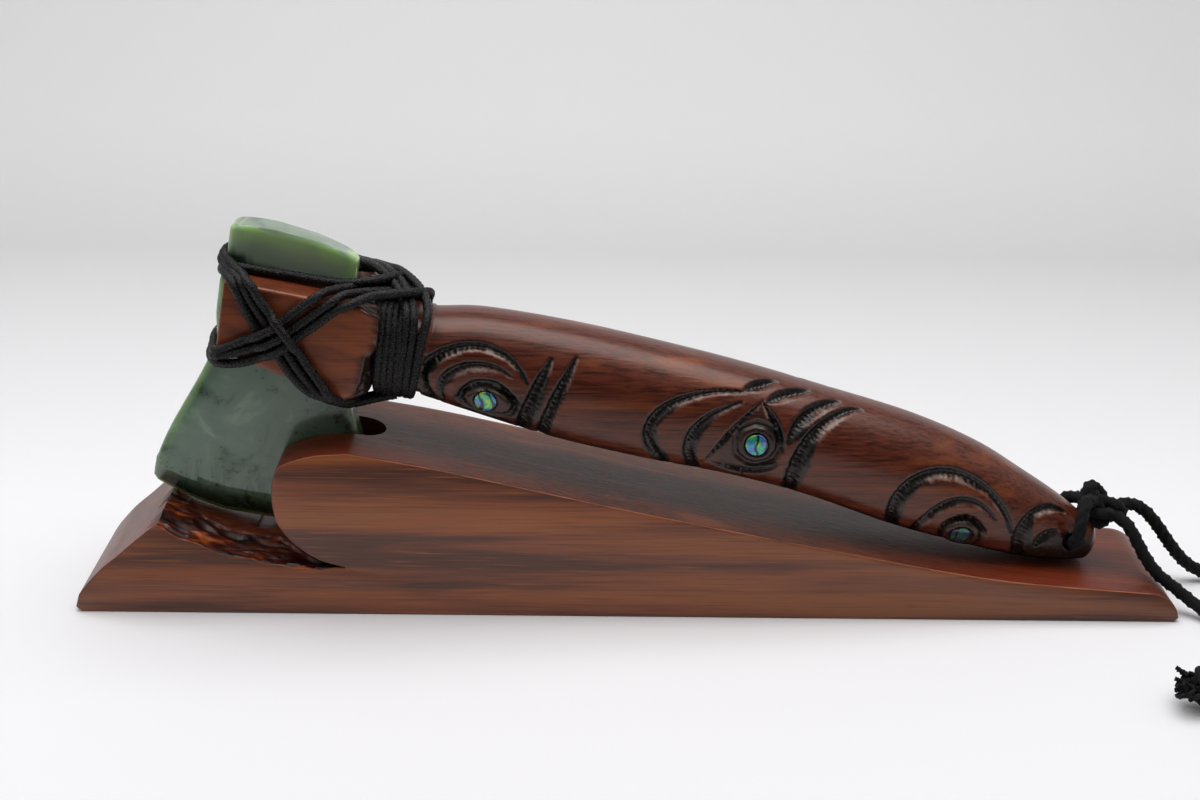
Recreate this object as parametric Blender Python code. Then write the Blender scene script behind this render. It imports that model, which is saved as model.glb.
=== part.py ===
"""Hafted greenstone axe lying on its carved wooden stand.

Metres, +Z up, origin at the middle of the stand's underside, the blade at -X.
The axe is drawn in a frame of its own, with X along the handle, Z up along the
blade and its origin inside the head. It is then tilted until the blade's edge
sits on the floor of the notch and the butt rests on the stand's long slope.
"""

import math

import bmesh
import bpy
import numpy as np
from mathutils import Matrix, Vector
from mathutils.bvhtree import BVHTree

# Gap between pieces that touch
FIT_GAP = 0.0003

# Stand: one block, sawn to a wave and sloping down to a thin toe
STAND_LENGTH = 0.360
STAND_DEPTH = 0.048
STAND_CREST_HEIGHT = 0.057
STAND_TOE_HEIGHT = 0.0105
STAND_TOE_ROUND = 0.0115
FOOT_HEIGHT = 0.0017
# Distances from the middle of the blade's edge to the features of the notch
EDGE_FROM_LEFT_END = 0.0568
RIDGE_FROM_EDGE = 0.0297
HOOK_FROM_EDGE = 0.0088
CREST_FROM_EDGE = 0.0330
NOTCH_TIP_FROM_EDGE = 0.0312
NOTCH_TIP_HEIGHT = 0.0168
NOTCH_FLOOR_HEIGHT = 0.0230
# Gouged flare along the front lip of the notch
FLARE_DEPTH = 0.0180
FLARE_DROP = 0.0034
FLARE_GOUGES = 4
# Slot in the hook that takes the corner of the blade
SLOT_SIDE_GAP = 0.0008
SLOT_END_GAP = 0.0050

# Blade, in the axe's frame
BLADE_THICKNESS = 0.0130
BLADE_POLL_UP = 0.0268
BLADE_EDGE_DOWN = 0.0733
BLADE_POLL_WIDTH = 0.0404
BLADE_EDGE_WIDTH = 0.0722
BLADE_EDGE_SAG = 0.0076
BLADE_BEVEL = 0.0100
BLADE_EDGE_LAND = 0.0009
BLADE_CORNER = 0.0012
BLADE_POLL_ROUND = 0.0026
POLL_SLOPE = 0.12
POLL_CROWN = 0.0024

# Handle, in the axe's frame
HANDLE_REACH = 0.2756
GRIP_DEPTH = 0.0365
GRIP_WIDTH = 0.0350
HEAD_WIDTH = 0.0390
HEAD_FRONT = 0.0178
HEAD_BACK = 0.0272
HEAD_TOP = 0.0137
HEAD_DROP_FRONT = 0.0092
HEAD_DROP_BACK = 0.0196
HEAD_EDGE_ROUND = 0.0010
SHOULDER_RUN = 0.0034
NECK_WIDTH = 0.0290
NECK_TOP = 0.0098
NECK_DROP = 0.0168
NECK_LENGTH = 0.0150

# Carved grooves and inlaid eyes
GROOVE_WIDTH = 0.0034
GROOVE_DEPTH = 0.0021
GROOVE_LIP = 0.0008
EYE_DIAMETER = 0.0070
EYE_THICKNESS = 0.0012
EYE_PROUD = 0.0003
EYE_DOME = 0.0004

# Lashing of plain cord
LASH_CORD = 0.0026
LASH_VALLEY = 0.6
NECK_TURNS = 7
CROSS_STRANDS = 3
BAND_OVERRUN = 0.0020

# Wrist cord, its hole and its knots
WRIST_CORD = 0.0044
CORD_HOLE = 0.0064
HOLE_FROM_BUTT = 0.0098
HOLE_REACH = 0.0085
CORD_STEP = 0.0100
LOOP_STEP = 0.0048
KNOT_TUBE = 0.0045
KNOT_HEART = 0.98

# Shares of the stand's run from crest to toe, and of its fall
WAVE = ((0.0, 1.0), (0.115, 0.884), (0.332, 0.615), (0.566, 0.346), (0.804, 0.097), (1.0, 0.0))
# Left slope from foot to ridge, as shares of its run and rise
LEFT_SLOPE = ((0.044, 0.18), (0.14, 0.29), (0.32, 0.46), (0.51, 0.60), (0.685, 0.735), (0.86, 0.865))
# Hook from the notch's tip up to the crest, as shares of (tip to crest) run and height
HOOK_CURVE = ((0.0, 0.0), (0.30, 0.07), (0.55, 0.20), (0.72, 0.36), (0.78, 0.52), (0.78, 0.70),
              (0.72, 0.85), (0.58, 0.92), (0.30, 0.98))

# Grip: share of the reach, top and bottom as shares of the depth, half width as a share of the width
GRIP_FORM = ((0.168, 0.272, -0.478, 0.412), (0.225, 0.342, -0.545, 0.452), (0.328, 0.350, -0.650, 0.488),
             (0.434, 0.310, -0.695, 0.500), (0.533, 0.252, -0.708, 0.500), (0.630, 0.168, -0.772, 0.500),
             (0.744, 0.060, -0.925, 0.490), (0.830, -0.095, -0.995, 0.455), (0.892, -0.280, -1.035, 0.395),
             (0.945, -0.455, -1.040, 0.325), (0.983, -0.610, -1.000, 0.225))
BUTT_CAP_SHARE = 0.55
# Where the section is widest, and how square it is above and below
SECTION_WAIST = 0.45
ROUND_TOP = 2.3
ROUND_BOTTOM = 3.0
HEAD_SQUARE = 9.0
NECK_SQUARE = 2.8

# Carving. Each groove is an arc: its width and depth as shares, its centre, its two radii and the angles
# that it runs between. Lengths along the handle are shares of the reach and heights are shares of the
# local height of the handle, from its underside.
GROOVES = {
    "first_lid_outer": (1.0, 1.0, (0.227, 0.36), (0.064, 0.42), (220, 27)),
    "first_lid_middle": (0.85, 0.8, (0.239, 0.28), (0.052, 0.33), (207, 59)),
    "first_lid_inner": (0.8, 0.8, (0.244, 0.23), (0.032, 0.22), (200, -13)),
    "first_slash": (1.15, 1.2, (0.353, -0.26), (0.070, 1.41), (133, 163)),
    "second_slash": (1.15, 1.2, (0.377, -0.60), (0.074, 1.76), (126, 156)),
    "middle_lid_outer": (1.0, 1.0, (0.560, 0.38), (0.131, 0.51), (213, 102)),
    "middle_lid_inner": (0.85, 0.8, (0.635, 0.33), (0.157, 0.63), (197, 132)),
    "middle_brow": (1.1, 1.1, (0.662, -0.84), (0.181, 2.10), (151, 126)),
    "middle_brow_back": (1.0, 1.0, (0.519, 0.30), (0.072, 0.62), (59, 16)),
    "middle_under_lid": (0.8, 0.8, (0.536, 0.53), (0.059, 0.39), (245, 330)),
    "spine_stroke_one": (1.0, 1.0, (0.579, 0.53), (0.077, 0.46), (128, 97)),
    "spine_stroke_two": (1.0, 1.0, (0.620, 0.72), (0.068, 0.27), (151, 97)),
    "long_stroke_one": (1.1, 1.1, (0.651, 0.53), (0.060, 0.45), (175, 93)),
    "long_stroke_two": (1.15, 1.2, (0.673, 0.27), (0.069, 0.70), (190, 89)),
    "last_lid_outer": (1.0, 1.0, (0.808, 0.27), (0.077, 0.50), (198, 15)),
    "last_lid_middle": (0.85, 0.8, (0.826, -0.35), (0.070, 0.92), (149, 62)),
    "last_lid_inner": (0.8, 0.8, (0.827, 0.10), (0.031, 0.27), (173, 39)),
    "butt_lid_outer": (0.9, 0.9, (0.946, 0.38), (0.055, 0.52), (191, 90)),
    "butt_lid_inner": (0.7, 0.7, (0.961, 0.27), (0.045, 0.40), (178, 118)),
}
# The back repeats the main lines only
FRONT_ONLY = ("first_lid_inner", "middle_under_lid", "middle_lid_inner", "spine_stroke_one",
              "last_lid_inner", "butt_lid_inner")
EYES = {"first": (0.2415, 0.25), "middle": (0.5570, 0.46), "last": (0.8230, 0.175)}

# Routes of the wrist cord, in world metres: two legs from the knot to the butt's hole, then the two tails
FRONT_LEG = ((0.1520, -0.0042, 0.0345), (0.1494, -0.0084, 0.0348), (0.1476, -0.0120, 0.0315),
             (0.1468, -0.0138, 0.0272), (0.1465, -0.0130, 0.0235))
BACK_LEG = ((0.1550, 0.0030, 0.0300), (0.1542, 0.0092, 0.0286), (0.1514, 0.0136, 0.0274),
            (0.1484, 0.0149, 0.0255), (0.1466, 0.0136, 0.0231))
UPPER_TAIL = ((0.1625, 0.0015, 0.0300), (0.1680, 0.0024, 0.0303), (0.1734, 0.0030, 0.0275),
              (0.1786, 0.0035, 0.0219), (0.1840, 0.0040, 0.0148), (0.1898, 0.0046, 0.0082),
              (0.1960, 0.0048, 0.0040), (0.2025, 0.0034, 0.0027), (0.2090, -0.0005, 0.0026),
              (0.2150, -0.0070, 0.0026), (0.2200, -0.0165, 0.0026), (0.2208, -0.0300, 0.0026),
              (0.2165, -0.0450, 0.0026), (0.2070, -0.0590, 0.0026), (0.1935, -0.0695, 0.0028),
              (0.1810, -0.0745, 0.0050))
LOWER_TAIL = ((0.1615, -0.0030, 0.0286), (0.1650, -0.0060, 0.0266), (0.1677, -0.0085, 0.0224),
              (0.1708, -0.0110, 0.0170), (0.1748, -0.0136, 0.0122), (0.1800, -0.0160, 0.0086),
              (0.1855, -0.0195, 0.0050), (0.1912, -0.0262, 0.0027), (0.1964, -0.0348, 0.0026),
              (0.1988, -0.0450, 0.0026), (0.1965, -0.0555, 0.0026), (0.1885, -0.0645, 0.0028),
              (0.1785, -0.0705, 0.0050))
KNOT_PLACE = (0.1570, 0.0000, 0.0303)
END_KNOT_PLACE = (0.1715, -0.0755, 0.0068)

# Turns of the knots: centre as shares of the cord's pressed thickness, two angles, radius as a share
WRIST_KNOT_TURNS = (((-0.49, 0.0, 0.27), (0.25, 1.25), 0.84), ((0.53, 0.0, -0.13), (-0.35, 1.75), 0.80),
                    ((0.09, 0.18, 0.04), (0.1, 0.55), 0.67))
END_KNOT_TURNS = (((-0.40, 0.13, 0.0), (0.5, 1.35), 0.89), ((0.49, -0.09, 0.0), (0.2, 1.65), 0.89),
                  ((0.0, 0.0, 0.04), (-0.3, 0.35), 0.89))

# How finely the forms are cut into flats
RING_POINTS = 24
BLADE_POINTS = 24
FLOOR_SPANS = 7
LASH_POINTS = 18
SURFACE_NUDGE = 0.0004
GRIP_STEP = 0.0125
FLAT_SPAN = 0.0015
WELD = 0.000005
GROOVE_STEP = 0.0055


def clear_scene():
    for item in list(bpy.data.objects):
        bpy.data.objects.remove(item, do_unlink=True)


def make_material(name, colour, roughness, metallic=0.0):
    material = bpy.data.materials.new(name)
    material.use_nodes = True
    shader = material.node_tree.nodes["Principled BSDF"]
    shader.inputs["Base Color"].default_value = (*colour, 1.0)
    shader.inputs["Roughness"].default_value = roughness
    shader.inputs["Metallic"].default_value = metallic
    return material


def smooth_curve(points, step=None, per_span=8):
    """Catmull-Rom curve through the points, resampled to an even step where one is given."""
    anchors = np.array(points, dtype=float)
    ends = (2 * anchors[0] - anchors[1], 2 * anchors[-1] - anchors[-2])
    anchors = np.vstack([ends[0], anchors, ends[1]])
    curve = []
    for a, b, c, d in zip(anchors[:-3], anchors[1:-2], anchors[2:-1], anchors[3:]):
        for t in np.linspace(0.0, 1.0, per_span, endpoint=False):
            curve.append(0.5 * (2 * b + (c - a) * t + (2 * a - 5 * b + 4 * c - d) * t * t
                                + (3 * b - a - 3 * c + d) * t ** 3))
    curve.append(anchors[-2])
    curve = np.array(curve)
    if step is None:
        return curve
    length = np.concatenate([[0.0], np.cumsum(np.linalg.norm(np.diff(curve, axis=0), axis=1))])
    count = max(3, int(round(length[-1] / step)) + 1)
    places = np.linspace(0.0, length[-1], count)
    return np.column_stack([np.interp(places, length, curve[:, k]) for k in range(curve.shape[1])])


def add_object(name, bm, material, smooth_angle=None):
    bmesh.ops.recalc_face_normals(bm, faces=bm.faces)
    mesh = bpy.data.meshes.new(name)
    bm.to_mesh(mesh)
    bm.free()
    item = bpy.data.objects.new(name, mesh)
    bpy.context.scene.collection.objects.link(item)
    if material:
        mesh.materials.append(material)
    if smooth_angle:
        mesh.shade_smooth()
        mesh.set_sharp_from_angle(angle=smooth_angle)
    return item


def loft(rings, closed=False):
    """A skin through rings of equal count, capped at both ends unless it closes on itself."""
    bm = bmesh.new()
    rows = [[bm.verts.new(point) for point in ring] for ring in rings]
    pairs = list(zip(rows[:-1], rows[1:]))
    if closed:
        pairs.append((rows[-1], rows[0]))
    for first, second in pairs:
        for k in range(len(first)):
            nxt = (k + 1) % len(first)
            bm.faces.new((first[k], first[nxt], second[nxt], second[k]))
    if not closed:
        bm.faces.new(rows[0][::-1])
        bm.faces.new(rows[-1])
    bmesh.ops.triangulate(bm, faces=bm.faces)
    return bm


def apply_boolean(item, cutter, operation="DIFFERENCE"):
    """Carries out a Boolean on the mesh itself and removes the cutter."""
    modifier = item.modifiers.new(operation.title(), "BOOLEAN")
    modifier.operation = operation
    modifier.solver = "EXACT"
    modifier.object = cutter
    bpy.context.view_layer.update()
    evaluated = item.evaluated_get(bpy.context.evaluated_depsgraph_get())
    mesh = bpy.data.meshes.new_from_object(evaluated)
    item.modifiers.remove(modifier)
    old = item.data
    item.data = mesh
    bpy.data.meshes.remove(old)
    bpy.data.objects.remove(cutter, do_unlink=True)


def tidy_mesh(item, angle=math.radians(0.6)):
    """Merges doubles and flat neighbours that a Boolean leaves."""
    bm = bmesh.new()
    bm.from_mesh(item.data)
    bmesh.ops.remove_doubles(bm, verts=bm.verts, dist=WELD)
    bmesh.ops.dissolve_limit(bm, angle_limit=angle, verts=bm.verts, edges=bm.edges)
    bmesh.ops.triangulate(bm, faces=bm.faces)
    bmesh.ops.dissolve_degenerate(bm, edges=bm.edges, dist=WELD)
    bm.to_mesh(item.data)
    bm.free()


# Form of the handle


def handle_stations():
    """Rows of distance, top, bottom, half width and squareness above and below."""
    head_half = HEAD_WIDTH / 2
    neck_start = HEAD_BACK + SHOULDER_RUN
    neck_end = neck_start + NECK_LENGTH
    rows = [
        (-HEAD_FRONT, HEAD_TOP, -HEAD_DROP_FRONT, head_half, HEAD_SQUARE, HEAD_SQUARE),
        (HEAD_BACK, HEAD_TOP - HEAD_EDGE_ROUND, -HEAD_DROP_BACK, head_half, HEAD_SQUARE, HEAD_SQUARE),
        (neck_start, NECK_TOP, -NECK_DROP, NECK_WIDTH / 2, NECK_SQUARE, NECK_SQUARE),
        (neck_end, NECK_TOP, -NECK_DROP, NECK_WIDTH / 2, NECK_SQUARE, NECK_SQUARE),
    ]
    grip = smooth_curve(GRIP_FORM)
    for share, top, bottom, half in grip:
        along = share * HANDLE_REACH
        if along > neck_end:
            rows.append((along, top * GRIP_DEPTH, bottom * GRIP_DEPTH, half * GRIP_WIDTH,
                         ROUND_TOP, ROUND_BOTTOM))
    return np.array(rows)


STATIONS = handle_stations()


def handle_section(along):
    """Top, bottom, half width and the two exponents of the section at a distance along the handle."""
    return [float(np.interp(along, STATIONS[:, 0], STATIONS[:, k])) for k in range(1, 6)]


def section_ring(along, grow=0.0, count=RING_POINTS):
    top, bottom, half, square_top, square_bottom = handle_section(along)
    middle = bottom + SECTION_WAIST * (top - bottom)
    ring = []
    for k in range(count):
        angle = 2 * math.pi * (k + 0.5) / count
        cos, sin = math.cos(angle), math.sin(angle)
        square = square_top if sin > 0 else square_bottom
        reach = (top - middle) if sin > 0 else (middle - bottom)
        y = (half + grow) * math.copysign(abs(cos) ** (2 / square), cos)
        z = middle + (reach + grow) * math.copysign(abs(sin) ** (2 / square), sin)
        ring.append(Vector((along, y, z)))
    return ring


def side_of_handle(along, up):
    """Half width of the handle at a height, so that (along, -this, up) lies on its front."""
    top, bottom, half, square_top, square_bottom = handle_section(along)
    middle = bottom + SECTION_WAIST * (top - bottom)
    square = square_top if up > middle else square_bottom
    reach = (top - middle) if up > middle else (middle - bottom)
    share = min(abs(up - middle) / reach, 0.99999)
    return half * (1 - share ** square) ** (1 / square)


def carved_place(share_along, share_up):
    """A point on the front of the handle and the direction straight out of the wood there."""
    along = share_along * HANDLE_REACH
    top, bottom, half = handle_section(along)[:3]
    up = bottom + share_up * (top - bottom)
    point = Vector((along, -side_of_handle(along, up), up))
    by = SURFACE_NUDGE
    by_along = Vector((2 * by, side_of_handle(along - by, up) - side_of_handle(along + by, up), 0))
    by_up = Vector((0, side_of_handle(along, up - by) - side_of_handle(along, up + by), 2 * by))
    return point, by_along.cross(by_up).normalized()


# Placing the axe on the stand


def stand_top(x):
    """Height of the stand's long slope, from the crest to the toe."""
    crest_x, toe_x = crest_place(), STAND_LENGTH / 2 - STAND_TOE_ROUND
    run = (x - crest_x) / (toe_x - crest_x)
    wave = smooth_curve(WAVE)
    share = float(np.interp(run, wave[:, 0], wave[:, 1]))
    return STAND_TOE_HEIGHT + share * (STAND_CREST_HEIGHT - STAND_TOE_HEIGHT)


def edge_place():
    return -STAND_LENGTH / 2 + EDGE_FROM_LEFT_END


def crest_place():
    return edge_place() + CREST_FROM_EDGE


def axe_matrix(tilt):
    """Turns the axe about the middle of its cutting edge, which sits just above the notch's floor."""
    turn = Matrix.Rotation(tilt, 4, "Y")
    seat = Vector((edge_place(), 0, NOTCH_FLOOR_HEIGHT + FIT_GAP))
    edge = turn @ Vector((0, 0, -BLADE_EDGE_DOWN))
    return Matrix.Translation(seat - edge) @ turn


def butt_clearance(tilt):
    """Least height of the handle's underside above the stand's slope."""
    place = axe_matrix(tilt)
    least = 1.0
    for along in np.linspace(0.35 * HANDLE_REACH, HANDLE_REACH, 60):
        bottom = handle_section(along)[1]
        point = place @ Vector((along, 0, bottom))
        if point.x < STAND_LENGTH / 2 - STAND_TOE_ROUND:
            least = min(least, point.z - stand_top(point.x))
    return least


def resting_tilt():
    """Tilt at which the butt comes down onto the stand, by halving."""
    low, high = math.radians(-5), math.radians(30)
    for _ in range(40):
        middle = (low + high) / 2
        if butt_clearance(middle) > FIT_GAP:
            low = middle
        else:
            high = middle
    return low


AXE = axe_matrix(resting_tilt())


# Blade


def blade_width(up):
    """Half width of the blade at a height: parallel in the haft, then flaring to the edge."""
    flare_top = -HEAD_DROP_FRONT
    poll, edge = BLADE_POLL_WIDTH / 2, BLADE_EDGE_WIDTH / 2
    if up > flare_top:
        return poll
    share = (flare_top - up) / (BLADE_EDGE_DOWN + flare_top)
    return poll + (edge - poll) * (math.sin(share * math.pi / 2)) ** 1.55


def blade_ring(up, half_width, half_thickness, bow, slope, count=BLADE_POINTS):
    """A section of the blade: a rectangle with round rims, bowed up towards both rims."""
    square = 6.0
    ring = []
    for k in range(count):
        angle = 2 * math.pi * (k + 0.5) / count
        cos, sin = math.cos(angle), math.sin(angle)
        share = math.copysign(abs(cos) ** (2 / square), cos)
        y = half_thickness * math.copysign(abs(sin) ** (2 / square), sin)
        x = half_width * share
        ring.append(Vector((x, y, up + bow * share * share - slope * x)))
    return ring


def blade_rings(grow=0.0):
    half_thick = BLADE_THICKNESS / 2
    land = BLADE_EDGE_LAND / 2
    rings = []
    for back in (0.0, 0.30, 1.0):
        inset = BLADE_POLL_ROUND * (1 - math.sqrt(1 - (1 - back) ** 2))
        up = BLADE_POLL_UP - back * BLADE_POLL_ROUND + grow
        rings.append(blade_ring(up, blade_width(up) - inset + grow, half_thick - inset + grow,
                                -POLL_CROWN, POLL_SLOPE))
    bevel_up = -BLADE_EDGE_DOWN + BLADE_BEVEL
    flat_top = BLADE_POLL_UP - 2.5 * BLADE_POLL_ROUND
    for share in (0.0, 0.22, 0.42, 0.52, 0.62, 0.72, 0.83, 0.93, 1.0):
        up = flat_top + share * (bevel_up - flat_top)
        fall = min(1.0, max(0.0, -up / BLADE_EDGE_DOWN))
        bow = BLADE_EDGE_SAG * fall ** 1.6 - POLL_CROWN * max(0.0, up / flat_top)
        slope = POLL_SLOPE * (1 - fall) ** 3
        rings.append(blade_ring(up, blade_width(up) + grow, half_thick + grow, bow, slope))
    rings.append(blade_ring(-BLADE_EDGE_DOWN + 0.2 * BLADE_BEVEL, blade_width(-BLADE_EDGE_DOWN) + grow,
                            land + 0.2 * (half_thick - land) + grow, BLADE_EDGE_SAG, 0.0))
    rings.append(blade_ring(-BLADE_EDGE_DOWN - grow, blade_width(-BLADE_EDGE_DOWN) - BLADE_CORNER + grow,
                            land + grow, BLADE_EDGE_SAG, 0.0))
    return rings


def blade_room():
    """The blade grown by the fitting gap, as a cutter."""
    return add_object("blade_room", loft(blade_rings(FIT_GAP)), None)


def make_blade(material):
    blade = add_object("greenstone_blade", loft(blade_rings()), material, math.radians(35))
    blade.matrix_world = AXE
    return blade


# Stand


def notch_floor():
    """Floor of the notch, just under the blade's edge, from the ridge to the hook."""
    points = []
    radius = ((BLADE_EDGE_WIDTH / 2) ** 2 + BLADE_EDGE_SAG ** 2) / (2 * BLADE_EDGE_SAG)
    for across in np.linspace(-RIDGE_FROM_EDGE, HOOK_FROM_EDGE, FLOOR_SPANS + 1):
        sag = radius - math.sqrt(radius ** 2 - across ** 2)
        point = AXE @ Vector((across, 0, -BLADE_EDGE_DOWN + sag))
        points.append((point.x, point.z - FIT_GAP))
    return points


def stand_outline(flare=0.0):
    """Outline in X and Z. The flare, from 0 to 1, lowers the notch's floor in a row of gouge marks."""
    left, right = -STAND_LENGTH / 2, STAND_LENGTH / 2
    floor = []
    for k, (x, z) in enumerate(smooth_curve(notch_floor(), per_span=2)):
        share = k / (2 * FLOOR_SPANS)
        scallop = 0.5 + 0.5 * math.cos(2 * math.pi * FLARE_GOUGES * share)
        fade = math.sin(math.pi * min(1.0, 0.10 + 0.62 * share))
        floor.append((x, z - flare * FLARE_DROP * fade * (1 - 0.2 * scallop)))
    ridge_x, ridge_z = floor[0]
    tip_x = edge_place() + NOTCH_TIP_FROM_EDGE
    crest_x = crest_place()
    outline = [(left + FOOT_HEIGHT, 0.0), (left, FOOT_HEIGHT)]
    for run, rise in smooth_curve(LEFT_SLOPE, per_span=2):
        outline.append((left + run * (ridge_x - left), rise * ridge_z))
    outline += floor
    hook_height = STAND_CREST_HEIGHT - NOTCH_TIP_HEIGHT
    reach = (tip_x - (edge_place() + HOOK_FROM_EDGE)) / 0.78
    hook = [(tip_x - run * reach, NOTCH_TIP_HEIGHT + rise * hook_height) for run, rise in HOOK_CURVE]
    hook.append((crest_x, STAND_CREST_HEIGHT))
    outline += [tuple(point) for point in smooth_curve(hook, per_span=3)]
    toe_x = right - STAND_TOE_ROUND
    for x in np.linspace(crest_x, toe_x, 26)[1:]:
        outline.append((x, stand_top(x)))
    for angle in np.linspace(math.radians(75), math.radians(12), 5):
        outline.append((toe_x + STAND_TOE_ROUND * math.cos(angle), STAND_TOE_HEIGHT * math.sin(angle)))
    outline.append((right, FOOT_HEIGHT * 0.8))
    outline.append((right - FOOT_HEIGHT, 0.0))
    return outline


def slot_cutter():
    """Upright slot in the hook, with a round far end, that takes the near corner of the blade."""
    half = BLADE_THICKNESS / 2 + SLOT_SIDE_GAP
    corners = [AXE @ point for ring in blade_rings() for point in ring]
    in_hook = [point for point in corners if point.x > edge_place() + HOOK_FROM_EDGE]
    floor = min(point.z for point in in_hook) - FIT_GAP
    heel = max(point.x for point in corners if point.z < STAND_CREST_HEIGHT)
    end_x = heel + SLOT_END_GAP - half
    start_x = edge_place()
    plan = [(start_x, -half)]
    for angle in np.linspace(-math.pi / 2, math.pi / 2, 9):
        plan.append((end_x + half * math.cos(angle), half * math.sin(angle)))
    plan.append((start_x, half))
    rings = [[(x, y, z) for x, y in plan] for z in (floor, 2 * STAND_CREST_HEIGHT)]
    return add_object("slot_cutter", loft(rings), None)


def make_stand(material):
    front = -STAND_DEPTH / 2
    rings = []
    for share in (0.0, 0.4, 0.75, 1.0):
        y = front + share * FLARE_DEPTH
        rings.append([(x, y, z) for x, z in stand_outline(1 - share ** 1.6)])
    rings.append([(x, STAND_DEPTH / 2, z) for x, z in stand_outline()])
    stand = add_object("stand", loft(rings), material)
    apply_boolean(stand, slot_cutter())
    tidy_mesh(stand, math.radians(0.2))
    stand.data.shade_smooth()
    stand.data.set_sharp_from_angle(angle=math.radians(30))
    return stand


# Handle


def groove_route(centre, radii, angles):
    """Even steps along a groove's arc, as shares of the reach and of the local height."""
    swing = np.radians(np.linspace(angles[0], angles[1], 64))
    line = np.column_stack([centre[0] + radii[0] * np.cos(swing), centre[1] + radii[1] * np.sin(swing)])
    steps = np.linalg.norm(np.diff(line * [HANDLE_REACH, GRIP_DEPTH], axis=0), axis=1)
    length = np.concatenate([[0.0], np.cumsum(steps)])
    places = np.linspace(0.0, length[-1], max(4, int(round(length[-1] / GROOVE_STEP)) + 1))
    return np.column_stack([np.interp(places, length, line[:, k]) for k in (0, 1)])


def groove_cutter(name, width, depth, route, mirrored):
    """A tapering V-shaped cutter swept over the handle's side along a groove's line."""
    places = [carved_place(along, up) for along, up in route]
    if mirrored:
        flip = Matrix.Scale(-1, 3, Vector((0, 1, 0)))
        places = [(flip @ point, flip @ normal) for point, normal in places]
    rings = []
    total = len(places) - 1
    for k, (point, normal) in enumerate(places):
        ahead = places[min(k + 1, total)][0] - places[max(k - 1, 0)][0]
        side = ahead.normalized().cross(normal).normalized()
        taper = math.sin(math.pi * (0.14 + 0.72 * k / total)) ** 0.6
        half = 0.5 * width * taper
        bottom = point - normal * depth * taper
        lip = point + normal * GROOVE_LIP
        rings.append([lip - side * half * 1.25, bottom - side * half * 0.35,
                      bottom + side * half * 0.35, lip + side * half * 1.25])
    cutter = add_object(name + "_cutter", loft(rings), None)
    return cutter


def disc_axes(eye):
    point, normal = carved_place(*EYES[eye])
    return point, normal.to_track_quat("Z", "X").to_matrix().to_4x4()


def disc(name, radius, low, high, dome, place, material=None, sides=20):
    """A round plate whose face is slightly domed."""
    rings = []
    for share, height in ((1.0, low), (1.0, high), (0.5, high + dome)):
        swing = [2 * math.pi * k / sides for k in range(sides)]
        rings.append([(radius * share * math.cos(a), radius * share * math.sin(a), height) for a in swing])
    item = add_object(name, loft(rings), material, math.radians(40))
    item.data.transform(place)
    if place.determinant() < 0:
        item.data.flip_normals()
    return item


def eye_place(eye, mirrored):
    point, turn = disc_axes(eye)
    place = Matrix.Translation(point) @ turn
    if mirrored:
        place = Matrix.Scale(-1, 4, Vector((0, 1, 0))) @ place
    return place


def socket_cutter(eye, mirrored):
    low = EYE_PROUD - EYE_THICKNESS - FIT_GAP
    return disc("socket_cutter", EYE_DIAMETER / 2 + FIT_GAP, low, 2 * EYE_THICKNESS, 0.0,
                eye_place(eye, mirrored))


def make_eyes(material):
    for eye in EYES:
        for side, mirrored in (("front", False), ("back", True)):
            low, high = EYE_PROUD - EYE_THICKNESS, EYE_PROUD
            item = disc(f"paua_eye_{eye}_{side}", EYE_DIAMETER / 2, low, high, EYE_DOME,
                        eye_place(eye, mirrored), material, 14)
            item.matrix_world = AXE


def handle_blank(name, grow=0.0):
    """The handle before carving, or the room it takes where it is grown."""
    places = [-HEAD_FRONT, -HEAD_FRONT + HEAD_EDGE_ROUND, 0.5 * (HEAD_BACK - HEAD_FRONT), HEAD_BACK]
    neck_start = HEAD_BACK + SHOULDER_RUN
    places += [neck_start, neck_start + NECK_LENGTH / 2, neck_start + NECK_LENGTH]
    last = GRIP_FORM[-1][0] * HANDLE_REACH
    count = int(round((last - places[-1]) / GRIP_STEP))
    places += list(np.linspace(places[-1], last, count + 1)[1:])
    rings = [section_ring(places[0], grow - HEAD_EDGE_ROUND)]
    rings += [section_ring(place, grow) for place in places[1:]]
    end = rings[-1]
    middle = sum(end, Vector()) / len(end)
    for share in (0.45, 0.85, 1.0):
        shrink = math.sqrt(max(0.0, 1 - share ** 2)) * (1 - BUTT_CAP_SHARE * 0.2) + 0.10
        along = last + share * (HANDLE_REACH - last)
        rings.append([Vector((along, (p.y - middle.y) * shrink, middle.z + (p.z - middle.z) * shrink))
                      for p in end])
    return add_object(name, loft(rings), None)


def make_handle(material):
    handle = handle_blank("handle")
    apply_boolean(handle, blade_room())
    for name, (wide, deep, *arc) in GROOVES.items():
        sides = (False,) if name in FRONT_ONLY else (False, True)
        for mirrored in sides:
            width, depth = wide * GROOVE_WIDTH, deep * GROOVE_DEPTH
            apply_boolean(handle, groove_cutter(name, width, depth, groove_route(*arc), mirrored))
    for eye in EYES:
        for mirrored in (False, True):
            apply_boolean(handle, socket_cutter(eye, mirrored))
    bore = disc("bore", CORD_HOLE / 2, -GRIP_WIDTH, GRIP_WIDTH, 0.0, bore_place(), None, 16)
    apply_boolean(handle, bore)
    tidy_mesh(handle, math.radians(1.0))
    handle.data.materials.append(material)
    handle.data.shade_smooth()
    handle.data.set_sharp_from_angle(angle=math.radians(35))
    handle.matrix_world = AXE
    return handle


def bore_place():
    return Matrix.Translation(hole_middle()) @ Matrix.Rotation(math.pi / 2, 4, "X")


def hole_middle():
    """Middle of the cord's hole, halfway up the handle near its butt."""
    along = HANDLE_REACH - HOLE_FROM_BUTT
    top, bottom = handle_section(along)[:2]
    return Vector((along, 0, (top + bottom) / 2))


# Lashing


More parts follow.
